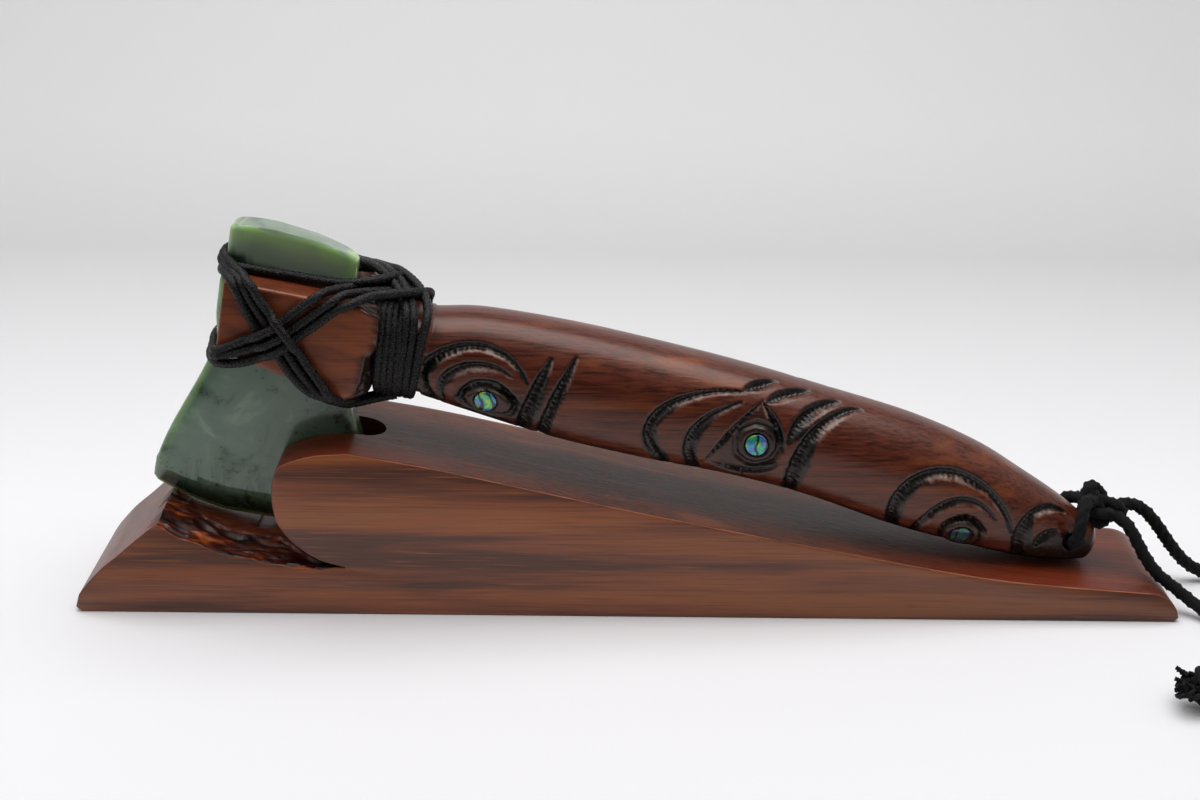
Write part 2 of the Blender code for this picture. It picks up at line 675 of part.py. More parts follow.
def hull_2d(points):
    """Convex hull of points in a plane, anticlockwise."""
    ordered = sorted(set((round(x, 6), round(y, 6)) for x, y in points))
    halves = []
    for run in (ordered, ordered[::-1]):
        half = []
        for point in run:
            while len(half) > 1 and turn_of(half[-2], half[-1], point) <= 0:
                half.pop()
            half.append(point)
        halves.append(half[:-1])
    return halves[0] + halves[1]


def turn_of(a, b, c):
    return (b[0] - a[0]) * (c[1] - a[1]) - (b[1] - a[1]) * (c[0] - a[0])


def taut_loop(points, clearance, directions=14):
    """A closed line stretched round the points at a clearance, with its outward directions."""
    hull = np.array(hull_2d(points))
    angles = []
    for first, second in zip(hull, np.roll(hull, -1, axis=0)):
        along = second - first
        if np.linalg.norm(along) > FLAT_SPAN:
            angles.append(math.atan2(-along[0], along[1]) % (2 * math.pi))
    for k in range(directions):
        angle = 2 * math.pi * k / directions
        if all(abs(math.remainder(angle - other, 2 * math.pi)) > math.radians(7) for other in angles):
            angles.append(angle)
    angles.sort()
    line, outward = [], []
    for first, second in zip(angles, angles[1:] + [angles[0] + 2 * math.pi]):
        sides = np.array([[math.cos(angle), math.sin(angle)] for angle in (first, second)])
        reach = np.array([np.max(hull @ side) + clearance for side in sides])
        line.append(np.linalg.solve(sides, reach))
        outward.append(sides.sum(axis=0) / (1 + sides[0] @ sides[1]))
    return line, outward


def body_points(grow_neck):
    """Surface points of head, neck and blade in the axe's frame, with the neck turns where asked."""
    neck_start, neck_end = HEAD_BACK + SHOULDER_RUN, HEAD_BACK + SHOULDER_RUN + NECK_LENGTH
    points = []
    for along in np.linspace(-HEAD_FRONT, neck_end + LASH_CORD, 66):
        grow = grow_neck if along > neck_start - LASH_CORD else 0.0
        points += section_ring(along, grow, 48)
    rings = blade_rings()
    for first, second in zip(rings[:-1], rings[1:]):
        for share in np.linspace(0, 1, 8, endpoint=False):
            points += [a.lerp(b, share) for a, b in zip(first, second)]
    return points


def cross_band(name, start, end, extra, over):
    """A flat band of strands round the head, from one place in X and Z to another, front and back."""
    start, end = Vector((start[0], 0, start[1])), Vector((end[0], 0, end[1]))
    run = (end - start).normalized()
    across = run.cross(Vector((0, 1, 0))).normalized()
    half_band = CROSS_STRANDS * LASH_CORD / 2
    flat = []
    for point in body_points(extra):
        offset = point - start
        within = -BAND_OVERRUN < offset.dot(run) < (end - start).length + 2 * BAND_OVERRUN
        if abs(offset.dot(across)) < half_band and within:
            flat.append((offset.dot(run), point.y))
    for place, y in over:
        flat += [(place, y), (place, -y)]
    line, outward = taut_loop(flat, 1.5 * FIT_GAP)
    profile = [(-half_band, 0.0)]
    for strand in range(CROSS_STRANDS):
        left = -half_band + strand * LASH_CORD
        profile += [(left + 0.06 * LASH_CORD, LASH_VALLEY * LASH_CORD),
                    (left + 0.5 * LASH_CORD, LASH_CORD)]
    profile += [(half_band - 0.06 * LASH_CORD, LASH_VALLEY * LASH_CORD), (half_band, 0.0)]
    rings = []
    for (u, v), (nu, nv) in zip(line, outward):
        base = start + run * u + Vector((0, v, 0))
        normal = run * nu + Vector((0, nv, 0))
        rings.append([base + across * side + normal * height for side, height in profile])
    return add_object(name, loft(rings, closed=True), None)


def neck_turns():
    """Ribbed sleeve of close turns round the neck."""
    start = HEAD_BACK + SHOULDER_RUN
    end = start + NECK_TURNS * LASH_CORD
    waist, crown = LASH_VALLEY * LASH_CORD, LASH_CORD
    rings = [section_ring(start, -FIT_GAP, LASH_POINTS)]
    for turn in range(NECK_TURNS):
        left = start + turn * LASH_CORD
        rings += [section_ring(left + 0.04 * LASH_CORD, waist, LASH_POINTS),
                  section_ring(left + 0.50 * LASH_CORD, crown, LASH_POINTS)]
    rings += [section_ring(end - 0.04 * LASH_CORD, waist, LASH_POINTS),
              section_ring(end, -FIT_GAP, LASH_POINTS)]
    return add_object("neck_turns", loft(rings, closed=True), None)


def poll_turn():
    """One turn of cord round the blade where it leaves the top of the head."""
    up = HEAD_TOP + LASH_CORD / 2
    half_width, half_thick = BLADE_POLL_WIDTH / 2, BLADE_THICKNESS / 2
    rings = []
    for grow, lift in ((-FIT_GAP, -0.5), (-FIT_GAP, 0.5), (0.8 * LASH_CORD, 0.5), (LASH_CORD, 0.0),
                       (0.8 * LASH_CORD, -0.5)):
        rings.append(blade_ring(up + lift * LASH_CORD, half_width + grow, half_thick + grow, 0.0, 0.0))
    return add_object("poll_turn", loft(rings, closed=True), None)


def make_lashing(material):
    lashing = neck_turns()
    lashing.name = "lashing"
    above = (-BLADE_POLL_WIDTH / 2, HEAD_TOP + 0.8 * LASH_CORD)
    under = (HEAD_BACK - HEAD_EDGE_ROUND, -HEAD_DROP_BACK)
    below = (-BLADE_POLL_WIDTH / 2, -HEAD_DROP_FRONT - 1.3 * LASH_CORD)
    over_neck = (HEAD_BACK + SHOULDER_RUN + NECK_LENGTH, NECK_TOP + LASH_CORD)
    rising = cross_band("rising_band", below, over_neck, LASH_VALLEY * LASH_CORD, ())
    length = (Vector(under) - Vector(above)).length
    crossing = (0.55 * length, HEAD_WIDTH / 2 + 0.9 * LASH_CORD)
    falling = cross_band("falling_band", above, under, 0.0, (crossing,))
    for band in (rising, falling, poll_turn()):
        apply_boolean(lashing, band, "UNION")
    for room in (handle_blank("handle_room", FIT_GAP), blade_room()):
        apply_boolean(lashing, room)
    tidy_mesh(lashing)
    lashing.data.materials.append(material)
    lashing.data.shade_smooth()
    lashing.data.set_sharp_from_angle(angle=math.radians(50))
    lashing.matrix_world = AXE
    return lashing


# Wrist cord


def free_of(tree, place, heading):
    """Whether the end face of a cord at this place stays clear of a knot."""
    side = heading.orthogonal().normalized()
    other = heading.cross(side).normalized()
    for k in range(17):
        angle = math.pi * k / 4
        reach = WRIST_CORD / 2 * (1.0, 0.55, 0.0)[k // 8]
        spot = place + reach * (math.cos(angle) * side + math.sin(angle) * other)
        near, normal, _, distance = tree.find_nearest(spot)
        if distance < FIT_GAP or (spot - near).dot(normal) < 0:
            return False
    return True


def cut_to_knot(line, knot):
    """Drops the start of a line of places, up to where the cord has cleared the knot."""
    tree = BVHTree.FromPolygons([vertex.co for vertex in knot.data.vertices],
                                [tuple(face.vertices) for face in knot.data.polygons])
    places = [Vector(place) for place in line]
    first = 0
    for k in range(len(places) // 2):
        if not free_of(tree, places[k], places[k + 1] - places[k]):
            first = k + 1
    return line[first:]


def make_cord(name, points, first_knot, last_knot, material, step):
    """A tube of plain cord from one knot to another."""
    fine = cut_to_knot(smooth_curve(points, FIT_GAP), first_knot)
    fine = cut_to_knot(fine[::-1], last_knot)[::-1]
    length = np.concatenate([[0.0], np.cumsum(np.linalg.norm(np.diff(fine, axis=0), axis=1))])
    places = np.linspace(0.0, length[-1], int(round(length[-1] / step)) + 1)
    line = np.column_stack([np.interp(places, length, fine[:, k]) for k in range(3)])
    curve = bpy.data.curves.new(name, "CURVE")
    curve.dimensions = "3D"
    curve.bevel_depth = WRIST_CORD / 2
    curve.bevel_resolution = 2
    curve.use_fill_caps = True
    spline = curve.splines.new("POLY")
    spline.points.add(len(line) - 1)
    for slot, place in zip(spline.points, line):
        slot.co = (*place, 1.0)
    curve.materials.append(material)
    item = bpy.data.objects.new(name, curve)
    bpy.context.scene.collection.objects.link(item)
    return item


def ring_of_cord(name, centre, turn, radius, tube, sides=10, facets=6):
    """One turn of a knot: a torus standing as turned."""
    bm = bmesh.new()
    rows = []
    for k in range(sides):
        angle = 2 * math.pi * k / sides
        middle = Vector((radius * math.cos(angle), radius * math.sin(angle), 0))
        out = middle.normalized()
        row = []
        for j in range(facets):
            swing = 2 * math.pi * j / facets
            spoke = math.cos(swing) * out + math.sin(swing) * Vector((0, 0, 1))
            row.append(bm.verts.new(middle + tube * spoke))
        rows.append(row)
    for k in range(sides):
        first, second = rows[k], rows[(k + 1) % sides]
        for j in range(facets):
            nxt = (j + 1) % facets
            bm.faces.new((first[j], first[nxt], second[nxt], second[j]))
    item = add_object(name, bm, None)
    item.data.transform(Matrix.Translation(centre) @ turn)
    return item


def knot_of_turns(name, centre, turns, material):
    """Turns of cord drawn up into one knot, with a filled heart."""
    bm = bmesh.new()
    bmesh.ops.create_icosphere(bm, subdivisions=1, radius=KNOT_TUBE * KNOT_HEART,
                               matrix=Matrix.Translation(centre))
    knot = add_object(name, bm, material, math.radians(60))
    for offset, angles, radius in turns:
        turn = Matrix.Rotation(angles[0], 4, "Z") @ Matrix.Rotation(angles[1], 4, "Y")
        place = Vector(centre) + KNOT_TUBE * Vector(offset)
        ring = ring_of_cord("turn", place, turn, radius * KNOT_TUBE, KNOT_TUBE / 2)
        apply_boolean(knot, ring, "UNION")
    tidy_mesh(knot)
    return knot


def make_wrist_cord(material):
    knot = knot_of_turns("wrist_knot", KNOT_PLACE, WRIST_KNOT_TURNS, material)
    end_knot = knot_of_turns("end_knot", END_KNOT_PLACE, END_KNOT_TURNS, material)
    hole = AXE @ hole_middle()
    inside = [(hole.x, y, hole.z) for y in (-HOLE_REACH, 0.0, HOLE_REACH)]
    loop = list(FRONT_LEG) + inside + list(BACK_LEG[::-1])
    make_cord("wrist_cord_loop", loop, knot, knot, material, LOOP_STEP)
    make_cord("wrist_cord_upper_tail", UPPER_TAIL, knot, end_knot, material, CORD_STEP)
    make_cord("wrist_cord_lower_tail", LOWER_TAIL, knot, end_knot, material, CORD_STEP)


def main():
    clear_scene()
    stained_wood = make_material("stained wood", (0.075, 0.026, 0.015), 0.32)
    greenstone = make_material("greenstone", (0.045, 0.095, 0.065), 0.15)
    lashing_cord = make_material("black satin cord", (0.016, 0.014, 0.015), 0.55)
    wrist_cord = make_material("black cotton cord", (0.012, 0.012, 0.013), 0.85)
    paua = make_material("paua shell", (0.10, 0.36, 0.30), 0.2)
    make_stand(stained_wood)
    make_blade(greenstone)
    make_handle(stained_wood)
    make_eyes(paua)
    make_lashing(lashing_cord)
    make_wrist_cord(wrist_cord)


main()
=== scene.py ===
"""Finish, carving, lashing, wrist cord, light and camera for a hafted greenstone axe on its stand.

Metres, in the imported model's own frame: X along the stand from the blade to the butt, Y away from the
camera, Z up. Forms that repeat the solids are worked out from the same sizes.
"""

import math

import bmesh
import bpy
import numpy as np
from bpy.props import FloatProperty, FloatVectorProperty, PointerProperty
from mathutils import Matrix, Vector, noise


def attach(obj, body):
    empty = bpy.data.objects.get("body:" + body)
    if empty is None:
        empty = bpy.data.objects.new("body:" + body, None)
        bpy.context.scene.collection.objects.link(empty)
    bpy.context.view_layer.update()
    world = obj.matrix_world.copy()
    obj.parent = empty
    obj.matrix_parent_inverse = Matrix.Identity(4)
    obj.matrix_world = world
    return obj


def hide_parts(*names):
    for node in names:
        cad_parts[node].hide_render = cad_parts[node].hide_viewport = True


bl_info = {
    "name": "Hafted greenstone axe",
    "version": (1, 0, 0),
    "blender": (4, 5, 0),
    "location": "3D View > Sidebar > Axe",
    "description": "Dresses the solids of a hafted axe and its stand, and sets up light and camera",
    "category": "Object",
}

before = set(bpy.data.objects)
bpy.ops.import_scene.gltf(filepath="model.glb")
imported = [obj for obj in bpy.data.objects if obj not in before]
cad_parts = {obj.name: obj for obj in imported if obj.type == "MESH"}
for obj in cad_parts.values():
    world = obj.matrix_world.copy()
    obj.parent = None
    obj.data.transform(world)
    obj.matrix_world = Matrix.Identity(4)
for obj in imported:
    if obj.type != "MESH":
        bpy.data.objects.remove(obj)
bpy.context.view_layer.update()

MM = 0.001

# Where the axe lies: its own frame has X along the handle and Z up along the blade
AXE_TILT = math.radians(9.963)
AXE = Matrix.Translation((-0.1105181, 0.0, 0.0954946)) @ Matrix.Rotation(AXE_TILT, 4, "Y")

# Stand, as in the solids
STAND_LENGTH, STAND_DEPTH = 0.360, 0.048
CREST_HEIGHT, TOE_HEIGHT, TOE_ROUND, FOOT_HEIGHT = 0.057, 0.0105, 0.0115, 0.0017
EDGE_PLACE = -STAND_LENGTH / 2 + 0.0568
RIDGE_FROM_EDGE, HOOK_FROM_EDGE, CREST_FROM_EDGE = 0.0297, 0.0088, 0.0330
TIP_FROM_EDGE, TIP_HEIGHT = 0.0312, 0.0168
FLARE_DEPTH, FLARE_DROP, FLARE_GOUGES = 0.0180, 0.0034, 4
FIT_GAP, SLOT_SIDE_GAP, SLOT_END_GAP = 0.0003, 0.0008, 0.0050
WAVE = ((0.0, 1.0), (0.115, 0.884), (0.332, 0.615), (0.566, 0.346), (0.804, 0.097), (1.0, 0.0))
LEFT_SLOPE = ((0.044, 0.18), (0.14, 0.29), (0.32, 0.46), (0.51, 0.60), (0.685, 0.735), (0.86, 0.865))
HOOK_CURVE = ((0.0, 0.0), (0.30, 0.07), (0.55, 0.20), (0.72, 0.36), (0.78, 0.52), (0.78, 0.70), (0.72, 0.85),
              (0.58, 0.92), (0.30, 0.98))
# Sections of the stand lie this far apart as far back as the gouges reach
GOUGE_STEP, GOUGE_BACK = 0.0005, 0.0035
# Back edge of the gouged part of the notch's floor, as X and Y
GOUGE_LINE = ((-0.1530, 0.0020), (-0.1460, -0.0010), (-0.1400, -0.0080), (-0.1320, -0.0105), (-0.1240, -0.0104),
              (-0.1155, -0.0092), (-0.1090, -0.0150), (-0.0990, -0.0205), (-0.0915, -0.0236))

# Blade, as in the solids but for its poll, which stands up to 1 mm higher
BLADE_THICKNESS, POLL_UP, EDGE_DOWN = 0.0130, 0.0275, 0.0733
POLL_WIDTH, EDGE_WIDTH, EDGE_SAG, BEVEL = 0.0404, 0.0722, 0.0076, 0.0100
EDGE_LAND, CORNER, POLL_ROUND, POLL_SLOPE, POLL_CROWN = 0.0009, 0.0012, 0.0026, 0.110, 0.0022
# How much the poll's top falls to the back: at its middle, and more per metre towards the haft
POLL_LEAN = (0.105, 3.6)
# How far the blade's left rim stands out beside the head
LEFT_SWELL = 0.0014

# Handle, as in the solids but for the head's corners, which are squarer
REACH, GRIP_DEPTH, GRIP_WIDTH = 0.2756, 0.0365, 0.0350
HEAD_WIDTH, HEAD_FRONT, HEAD_BACK, HEAD_TOP = 0.0390, 0.0178, 0.0272, 0.0137
DROP_FRONT, DROP_BACK, EDGE_ROUND, SHOULDER_RUN = 0.0092, 0.0196, 0.0010, 0.0034
NECK_WIDTH, NECK_TOP, NECK_DROP, NECK_LENGTH = 0.0290, 0.0098, 0.0168, 0.0150
NECK_START = HEAD_BACK + SHOULDER_RUN
HOLE_FROM_BUTT, HOLE_REACH = 0.0098, 0.0085
SECTION_WAIST, ROUND_TOP, ROUND_BOTTOM, HEAD_SQUARE, NECK_SQUARE = 0.45, 2.3, 3.0, 30.0, 2.8
# Where the chopped end of the head runs on the cheek, as height and distance from the square end
SHOULDER_LINE = ((-0.0200, -0.0049), (-0.0187, -0.0040), (-0.0167, -0.0010), (-0.0115, -0.0002), (-0.0036, 0.0003),
                 (0.0000, 0.0030), (0.0014, 0.0034), (0.0099, 0.0028), (0.0120, -0.0030), (0.0140, -0.0034))
GRIP_FORM = ((0.168, 0.272, -0.478, 0.412), (0.225, 0.342, -0.545, 0.452), (0.328, 0.350, -0.650, 0.488),
             (0.434, 0.310, -0.695, 0.500), (0.533, 0.252, -0.708, 0.500), (0.630, 0.168, -0.772, 0.500),
             (0.744, 0.060, -0.925, 0.490), (0.830, -0.095, -0.995, 0.455), (0.892, -0.280, -1.035, 0.395),
             (0.945, -0.455, -1.040, 0.325), (0.983, -0.610, -1.000, 0.225))
# Points round each section of the handle, and the rounding of its square end
HANDLE_POINTS, END_ROUND = 184, 0.0007
EYE_DIAMETER = 0.0070
# Profile of a shell disc, as share of its radius and height in millimetres, and points round it
EYE_PROFILE = ((1.0, -0.9), (1.0, 0.12), (0.975, 0.22), (0.93, 0.28), (0.7, 0.46), (0.4, 0.60), (0.1, 0.66))
EYE_POINTS = 48
EYES = {"first": (0.2415, 0.25), "middle": (0.5570, 0.46), "last": (0.8230, 0.175)}

# Carving: width and depth shares, centre, radii and angles of each groove's arc
GROOVES = {
    "first_lid_outer": (1.05, 1.0, (0.227, 0.36), (0.064, 0.42), (228, 27)),
    "first_lid_middle": (0.95, 0.9, (0.239, 0.28), (0.052, 0.33), (207, 59)),
    "first_lid_inner": (0.80, 0.8, (0.244, 0.23), (0.032, 0.22), (200, -13)),
    "first_slash": (1.20, 1.2, (0.353, -0.26), (0.070, 1.41), (167, 132)),
    "second_slash": (1.05, 1.1, (0.377, -0.60), (0.074, 1.76), (159, 125)),
    "middle_lid_outer": (1.00, 1.0, (0.560, 0.38), (0.131, 0.51), (222, 102)),
    "middle_lid_inner": (1.00, 0.9, (0.635, 0.33), (0.157, 0.63), (207, 132)),
    "middle_brow": (0.60, 0.9, (0.662, -0.84), (0.181, 2.10), (151, 126)),
    "middle_brow_back": (0.75, 1.0, (0.519, 0.30), (0.072, 0.62), (59, 16)),
    "middle_under_lid": (0.65, 0.8, (0.536, 0.53), (0.059, 0.39), (245, 330)),
    "spine_stroke_one": (1.05, 1.0, (0.579, 0.53), (0.077, 0.46), (128, 97)),
    "spine_stroke_two": (1.10, 1.0, (0.620, 0.72), (0.068, 0.27), (151, 97)),
    "long_stroke_one": (1.20, 1.1, (0.651, 0.53), (0.060, 0.45), (175, 93)),
    "long_stroke_two": (1.25, 1.2, (0.673, 0.27), (0.069, 0.70), (198, 89)),
    "last_lid_outer": (1.15, 1.0, (0.808, 0.27), (0.077, 0.50), (206, 15)),
    "last_lid_middle": (0.85, 0.8, (0.826, -0.35), (0.070, 0.92), (154, 62)),
    "last_lid_inner": (0.75, 0.8, (0.827, 0.10), (0.031, 0.27), (173, 39)),
    "butt_lid_outer": (1.20, 1.0, (0.946, 0.38), (0.055, 0.52), (212, 90)),
    "butt_lid_inner": (0.90, 0.8, (0.961, 0.27), (0.045, 0.40), (178, 118)),
}
FRONT_ONLY = ("first_lid_inner", "middle_under_lid", "middle_lid_inner", "spine_stroke_one", "last_lid_inner",
              "butt_lid_inner")
# Grooves that stay wide where they start, low on the side
OPEN_ENDED = ("first_lid_outer", "first_slash", "second_slash", "middle_lid_outer", "middle_lid_inner",
              "long_stroke_two", "last_lid_outer", "last_lid_middle", "butt_lid_outer")

# Routes of the wrist cord, as in the solids
FRONT_LEG = ((0.1520, -0.0042, 0.0345), (0.1494, -0.0084, 0.0348), (0.1476, -0.0120, 0.0315),
             (0.1468, -0.0138, 0.0272), (0.1465, -0.0130, 0.0235))
BACK_LEG = ((0.1550, 0.0030, 0.0300), (0.1542, 0.0092, 0.0286), (0.1514, 0.0136, 0.0274),
            (0.1484, 0.0149, 0.0255), (0.1466, 0.0136, 0.0231))
UPPER_TAIL = ((0.1625, 0.0015, 0.0300), (0.1680, 0.0024, 0.0303), (0.1734, 0.0030, 0.0275),
              (0.1786, 0.0035, 0.0219), (0.1840, 0.0040, 0.0148), (0.1898, 0.0046, 0.0082),
              (0.1960, 0.0048, 0.0040), (0.2025, 0.0034, 0.0027), (0.2090, -0.0005, 0.0026),
              (0.2150, -0.0070, 0.0026), (0.2200, -0.0165, 0.0026), (0.2208, -0.0300, 0.0026),
              (0.2165, -0.0450, 0.0026), (0.2070, -0.0590, 0.0026), (0.1935, -0.0695, 0.0028),
              (0.1810, -0.0745, 0.0050))
LOWER_TAIL = ((0.1615, -0.0030, 0.0286), (0.1650, -0.0060, 0.0266), (0.1677, -0.0085, 0.0224),
              (0.1708, -0.0110, 0.0170), (0.1748, -0.0136, 0.0122), (0.1800, -0.0160, 0.0086),
              (0.1855, -0.0195, 0.0050), (0.1912, -0.0262, 0.0027), (0.1964, -0.0348, 0.0026),
              (0.1988, -0.0450, 0.0026), (0.1965, -0.0555, 0.0026), (0.1885, -0.0645, 0.0028),
              (0.1785, -0.0705, 0.0050))
KNOT_PLACE = (0.1570, 0.0000, 0.0303)
END_KNOT_PLACE = (0.1715, -0.0755, 0.0068)
KNOT_LEAN = math.radians(39.7)
# Threads that stand out of the cord's ends, and how far
FRAY_THREADS, FRAY_REACH = 46, 0.0044

# Strands of the lashing in millimetres along, across and up the axe; each names the half in front of the blade.
# The falling ones close under the head, the rising ones go round the neck and come back over it.
FALLING = (
    ((-21.4, 0, 11.6), (-20.9, -4.5, 11.9), (-18.6, -12.5, 13.9), (-15.2, -20.5, 14.2), (-11.1, -20.75, 7.6),
     (-7.0, -20.75, 1.7), (-3.2, -20.75, -2.5), (1.1, -20.75, -6.8), (5.4, -20.75, -11.7), (10.3, -20.75, -15.9),
     (14.6, -20.4, -17.9), (19.0, -15.0, -19.6), (22.0, -7.0, -20.2), (23.4, 0, -19.9)),
    ((-21.4, 0, 14.1), (-20.9, -4.5, 14.3), (-17.4, -13.6, 15.5), (-12.4, -20.5, 14.4), (-8.8, -20.75, 9.3),
     (-3.9, -20.75, 3.6), (-0.3, -20.75, -0.3), (3.6, -20.75, -5.0), (8.4, -20.75, -10.8), (13.4, -20.75, -15.7),
     (17.6, -20.5, -18.4), (21.6, -15.0, -20.6), (24.4, -7.0, -21.0), (25.6, 0, -20.6)),
    ((-21.4, 0, 16.5), (-20.8, -4.5, 16.7), (-16.2, -13.5, 16.9), (-9.3, -20.5, 14.8), (-6.6, -20.75, 11.0),
     (-0.3, -20.75, 4.3), (4.7, -20.75, -0.7), (9.8, -20.75, -7.2), (15.6, -20.75, -13.5), (20.2, -20.6, -18.0),
     (24.0, -15.0, -20.6), (26.8, -7.0, -21.3), (27.8, 0, -21.0)),
)
RISING = (
    ((-21.2, 0, -11.0), (-20.9, -5, -10.9), (-19.4, -13, -9.9), (-17.9, -20.2, -8.9), (-15.8, -20.75, -7.8),
     (-10.4, -20.75, -4.3), (-4.6, -20.75, -0.4), (-0.1, -20.75, 3.0), (3.7, -20.75, 7.1), (8.1, -20.75, 11.8),
     (11.0, -20.4, 14.5), (13.0, -17.4, 15.2), (18.9, -9.8, 15.3), (26.9, -3.0, 15.8), (33.0, 0.0, 15.6),
     (36.5, 4.6, 14.6)),
    ((-21.4, 0, -13.4), (-21.1, -5, -13.3), (-19.6, -13, -12.1), (-17.9, -20.2, -10.7), (-14.8, -20.75, -9.4),
     (-8.2, -20.75, -6.7), (-1.9, -20.75, -3.0), (2.7, -20.75, 0.6), (7.1, -20.75, 5.0), (12.0, -20.75, 10.1),
     (16.2, -20.5, 14.1), (18.4, -17.8, 15.2), (22.3, -13.6, 15.3), (30.6, -5.6, 14.9), (36.0, -1.0, 14.2),
     (39.0, 4.5, 13.6)),
    ((-21.8, 0, -15.9), (-21.5, -5, -15.7), (-19.8, -12, -14.9), (-16.5, -18.2, -13.6), (-9.0, -20.4, -11.2),
     (-2.6, -20.75, -7.5), (2.6, -20.75, -3.8), (7.0, -20.75, 0.7), (11.9, -20.75, 5.6), (16.8, -20.75, 10.9),
     (21.4, -20.4, 13.7), (24.4, -17.6, 15.1), (28.3, -14.2, 15.9), (32.5, -12.2, 16.5), (37.0, -9.6, 16.8),
     (41.0, -4.5, 16.0), (43.5, 2.0, 14.2)),
)
OVER_AGAIN = (
    ((38.0, -13.9, 10.6), (36.2, -9.5, 13.8), (32.0, -3.5, 17.2), (26.0, 3.0, 18.8), (19.5, 9.5, 17.9),
     (14.0, 15.5, 16.2), (11.0, 20.3, 14.6)),
    ((40.2, -13.6, 10.4), (38.6, -9.0, 13.6), (34.6, -2.6, 17.4), (28.5, 3.8, 18.9), (23.5, 10.5, 17.6),
     (19.5, 16.5, 15.9), (17.0, 20.4, 14.4)),
    ((44.4, -13.4, 10.4), (43.6, -8.5, 13.6), (39.8, -2.2, 17.0), (33.5, 3.5, 19.0), (29.2, 10.0, 17.4),
     (25.2, 16.0, 15.8), (22.5, 20.4, 14.2)),
)
# Where each rising strand passes the neck's back, its underside and its front
NECK_PASSES = ((38.0, 39.6, 38.7), (40.4, 41.6, 40.9), (43.0, 42.4, 43.6))
# The neck's own winding: its turns in degrees from the top, and where they start and end along the axe
NECK_TURNS, NECK_RUN = (-390.0, 1090.0), (28.4, 36.6)
# How far a strand on a cheek lies from the middle, and from where on it counts as on the cheek
ON_CHEEK, NEAR_CHEEK = 0.02075, 18.5 * MM
POLL_TURN = ((35, 5, 17.0), (27, 7.5, 17.6), (21, 8.2, 16.4), (0, 8.2, 15.3), (-18, 8.2, 15.2), (-21.8, 0, 15.0),
             (-18, -8.3, 15.2), (0, -8.3, 15.3), (14, -8.4, 15.5), (21, -8.0, 16.6), (27, -6.2, 18.0),
             (31.5, -2, 18.6), (35, 4, 17.5), (37, 10, 13.8), (38, 15, 8))
# Two turns that run from under the head to the underside of the neck
UNDER_HEAD = (
    ((19.0, -17.0, -20.0), (23.5, -12.5, -22.4), (28.0, -9.5, -22.0), (33.0, -8.0, -20.3), (38.5, -7.0, -18.6)),
    ((20.5, -12.0, -20.4), (25.0, -7.5, -22.6), (29.5, -4.5, -22.0), (34.5, -3.0, -20.4), (40.0, -1.0, -19.4)),
)


def rgb(text):
    """Linear red, green and blue of an sRGB hex colour."""
    parts = [int(text[k:k + 2], 16) / 255 for k in (1, 3, 5)]
    return tuple(c / 12.92 if c <= 0.04045 else ((c + 0.055) / 1.055) ** 2.4 for c in parts)


def colour(name, description, default):
    """A colour setting, its default an sRGB hex value."""
    return FloatVectorProperty(name=name, description=description, default=rgb(default), size=3, min=0.0, max=1.0,
                               subtype="COLOR")


def length(name, description, default):
    """A length setting in metres."""
    return FloatProperty(name=name, description=description, default=default, min=0.0, soft_max=0.5, precision=4,
                         subtype="DISTANCE", unit="LENGTH")


class AXE_PG_wood(bpy.types.PropertyGroup):
    deep: colour("Deep stain", "Dark lines of the grain", "#3f190e")
    mid: colour("Mid stain", "Brown of the stand between the dark lines of its grain", "#74381f")
    streak: colour("Streak", "Lighter orange brown streaks that show through the stain", "#8f4a24")
    warm: colour("Warm stain", "Red brown of the head's cheeks and the grip", "#682f1e")
    face: colour("Sawn face", "Lighter brown of the sawn front and back, between soft darker bands", "#8a4c2f")
    fibre: colour("Fibres", "Orange fibres that show on the sawn faces", "#a9622f")
    head: colour("Head", "Orange brown of the head, where the stain lies thin", "#8c4728")
    # Pale orange of rubbed wood, painted brighter along the upper edges of the stand and the head as a highlight
    worn_edge_and_highlight: colour("Worn edge and highlight", "Orange of rubbed wood, painted brighter along upper edges as a highlight", "#b8683c")
    # Painted reflected light: red orange laid on the stand where light comes back off the blade and the handle's butt
    glow: colour("Bounce light", "Red orange painted where light comes back off a neighbour", "#7c2a0e")
    amber: colour("Gouged wood", "Glossy amber of the gouged floor", "#8a3d0e")
    paint: colour("Groove paint", "Black worked into the carved lines", "#060808")
    grain: length("Grain width", "Width of one line of the grain", 0.0009)


class AXE_PG_carving(bpy.types.PropertyGroup):
    width: length("Groove width", "Width of a carved line", 0.0039)
    depth: length("Groove depth", "Depth of a carved line", 0.0018)
    chisel: length("Chisel step", "Distance from one cut of the chisel to the next along a line", 0.0019)


class AXE_PG_stone(bpy.types.PropertyGroup):
    body: colour("Stone", "Grey green of the polished faces", "#5f7864")
    # Painted shade: this dark green lies on the bevel above the edge, which faces down into the stand's shade and
    # reflection, and in a corner low on the left of the poll
    dark: colour("Dark stone", "Dark green painted as shade on the bevel and in a corner of the poll", "#122210")
    lime: colour("Lime rim", "Bright green where light comes through a thin rim", "#a6cc82")
    pale: colour("Pale poll", "Grey green of the poll", "#9aa894")
    speck: length("Speck size", "Size of the dark specks in the stone", 0.0022)


class AXE_PG_cord(bpy.types.PropertyGroup):
    satin: colour("Satin cord", "Black of the lashing", "#050506")
    cotton: colour("Cotton cord", "Black of the wrist cord", "#09090a")
    lash: length("Lashing cord", "Diameter of the lashing cord", 0.0031)
    wrist: length("Wrist cord", "Diameter of the wrist cord", 0.0044)
    lay: length("Lay", "Length in which the wrist cord's plies turn once", 0.0132)


